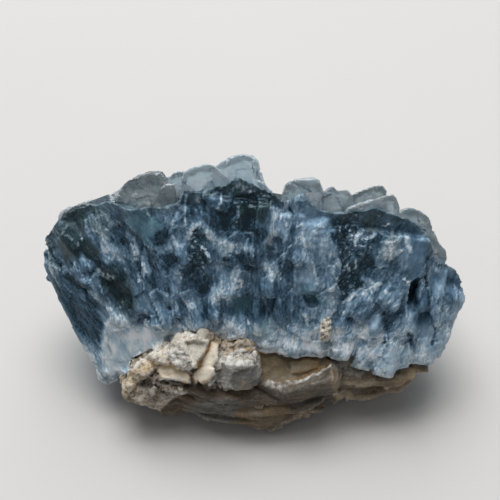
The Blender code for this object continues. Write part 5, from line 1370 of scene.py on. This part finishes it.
def makeCrumb(material):
    bpy.ops.object.select_all(action="DESELECT")
    bpy.ops.mesh.primitive_ico_sphere_add(subdivisions=5, radius=1.0, location=(0, 0, 0))
    piece = bpy.context.active_object
    piece.name = piece.data.name = "rockCrumb"
    ball = np.array([vertex.co for vertex in piece.data.vertices])
    ball = ball * (1 + 0.25 * noiseAt(ball * 3, 2.2))[:, None] * np.array(crumb["half"])
    lean = math.radians(crumb["lean"])
    across = crumb["across"] + ball[:, 0] * math.cos(lean) + ball[:, 1] * math.sin(lean)
    up = crumb["up"] + ball[:, 1] * math.cos(lean) - ball[:, 0] * math.sin(lean)
    writePoints(piece, np.array([placeOnFace(*spot) for spot in zip(across, up, crumb["out"] + ball[:, 2])]))
    points, normals = readMesh(piece)
    hole = pits(across / crumb["pitCell"], up / crumb["pitCell"], 53, 0.55, 0.15, 0.45)
    writePoints(piece, points + normals * (0.30 * noiseAt(points, 0.8) - 0.45 * hole)[:, None])
    stand, _ = bulge(piece)
    writeAttributes(piece, tint=np.tile(np.array(crumb["tint"]), (len(points), 1)), crust=crumb["crust"],
                    # the edge mask: the crumb's ridges made paler, partly pale crust and partly a painted highlight
                    layered=crumb["layered"], calm=crumb["calm"], edge=np.clip(stand * 6.0, 0, 0.6),
                    # painted shade: the hollow mask darkens the pits and hollows of the crumb
                    hollow=np.clip(hole * 0.9 - stand * 3.0, 0, 1))
    dress(piece, material)
    print("crumb of rock made")
    return piece


rock = makeRock()
pieces = [(makeBrokenMass(), "celestite"), (rock, "rock"), (makeTipCrystals(), "celestite"),
          (makeBackCrystals(), "celestite"), (makeCrumb(rock.data.materials[0]), "rock")]
for piece, slotName in pieces:
    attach(piece, "root")
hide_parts("celestite_crystals")
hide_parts("matrix_rock")


# floor, light and camera
studio = {
    "floorColour": (0.640, 0.627, 0.612), "floorLow": 0.97, "world": (0.90, 0.95, 1.0), "worldStrength": 0.19,
    "sunFrom": (-0.12, 0.34, 1.0), "sunSpread": 50.0, "sunPower": 1.22,
    "topPlace": (-0.08, 0.50, 0.76), "topSize": 0.8, "topPower": 7.8,
}


def makeFloor():
    bpy.ops.object.select_all(action="DESELECT")
    bpy.ops.mesh.primitive_plane_add(size=6.0, location=(0, 0, 0))
    floor = bpy.context.active_object
    floor.name = "floor"
    material, tree, shader = makeMaterial("pale floor")
    low = tuple(value * studio["floorLow"] for value in studio["floorColour"])
    colour = addMix(tree, addNoise(tree, addPlace(tree), 0.02, 2.0, 0.5), low, studio["floorColour"])
    fill(tree, shader, {"Base Color": colour, "Roughness": 0.95})
    floor.data.materials.append(material)


def makeLight(name, kind, place, power):
    light = bpy.data.lights.new(name, kind)
    light.energy = power
    made = linkObject(name, light)
    made.location = place
    made.rotation_euler = (-Vector(place)).to_track_quat("-Z", "Y").to_euler()
    return light


def makeStudio():
    makeFloor()
    top = makeLight("topLight", "AREA", studio["topPlace"], studio["topPower"])
    top.shape, top.size = "SQUARE", studio["topSize"]
    sun = makeLight("softSun", "SUN", studio["sunFrom"], studio["sunPower"])
    sun.angle = math.radians(studio["sunSpread"])
    world = bpy.data.worlds.new("room")
    world.use_nodes = True
    fill(world.node_tree, world.node_tree.nodes["Background"],
         {"Color": studio["world"], "Strength": studio["worldStrength"]})
    bpy.context.scene.world = world
    camera = bpy.data.cameras.new("camera")
    camera.angle, camera.clip_start = math.radians(view["angle"]), 0.01
    made = linkObject("camera", camera)
    made.location = Vector(view["place"]) * mm
    made.rotation_euler = (viewTilt, 0, 0)
    bpy.context.scene.camera = made
    bpy.context.scene.view_settings.view_transform = "Standard"


makeStudio()
print("studio ready")
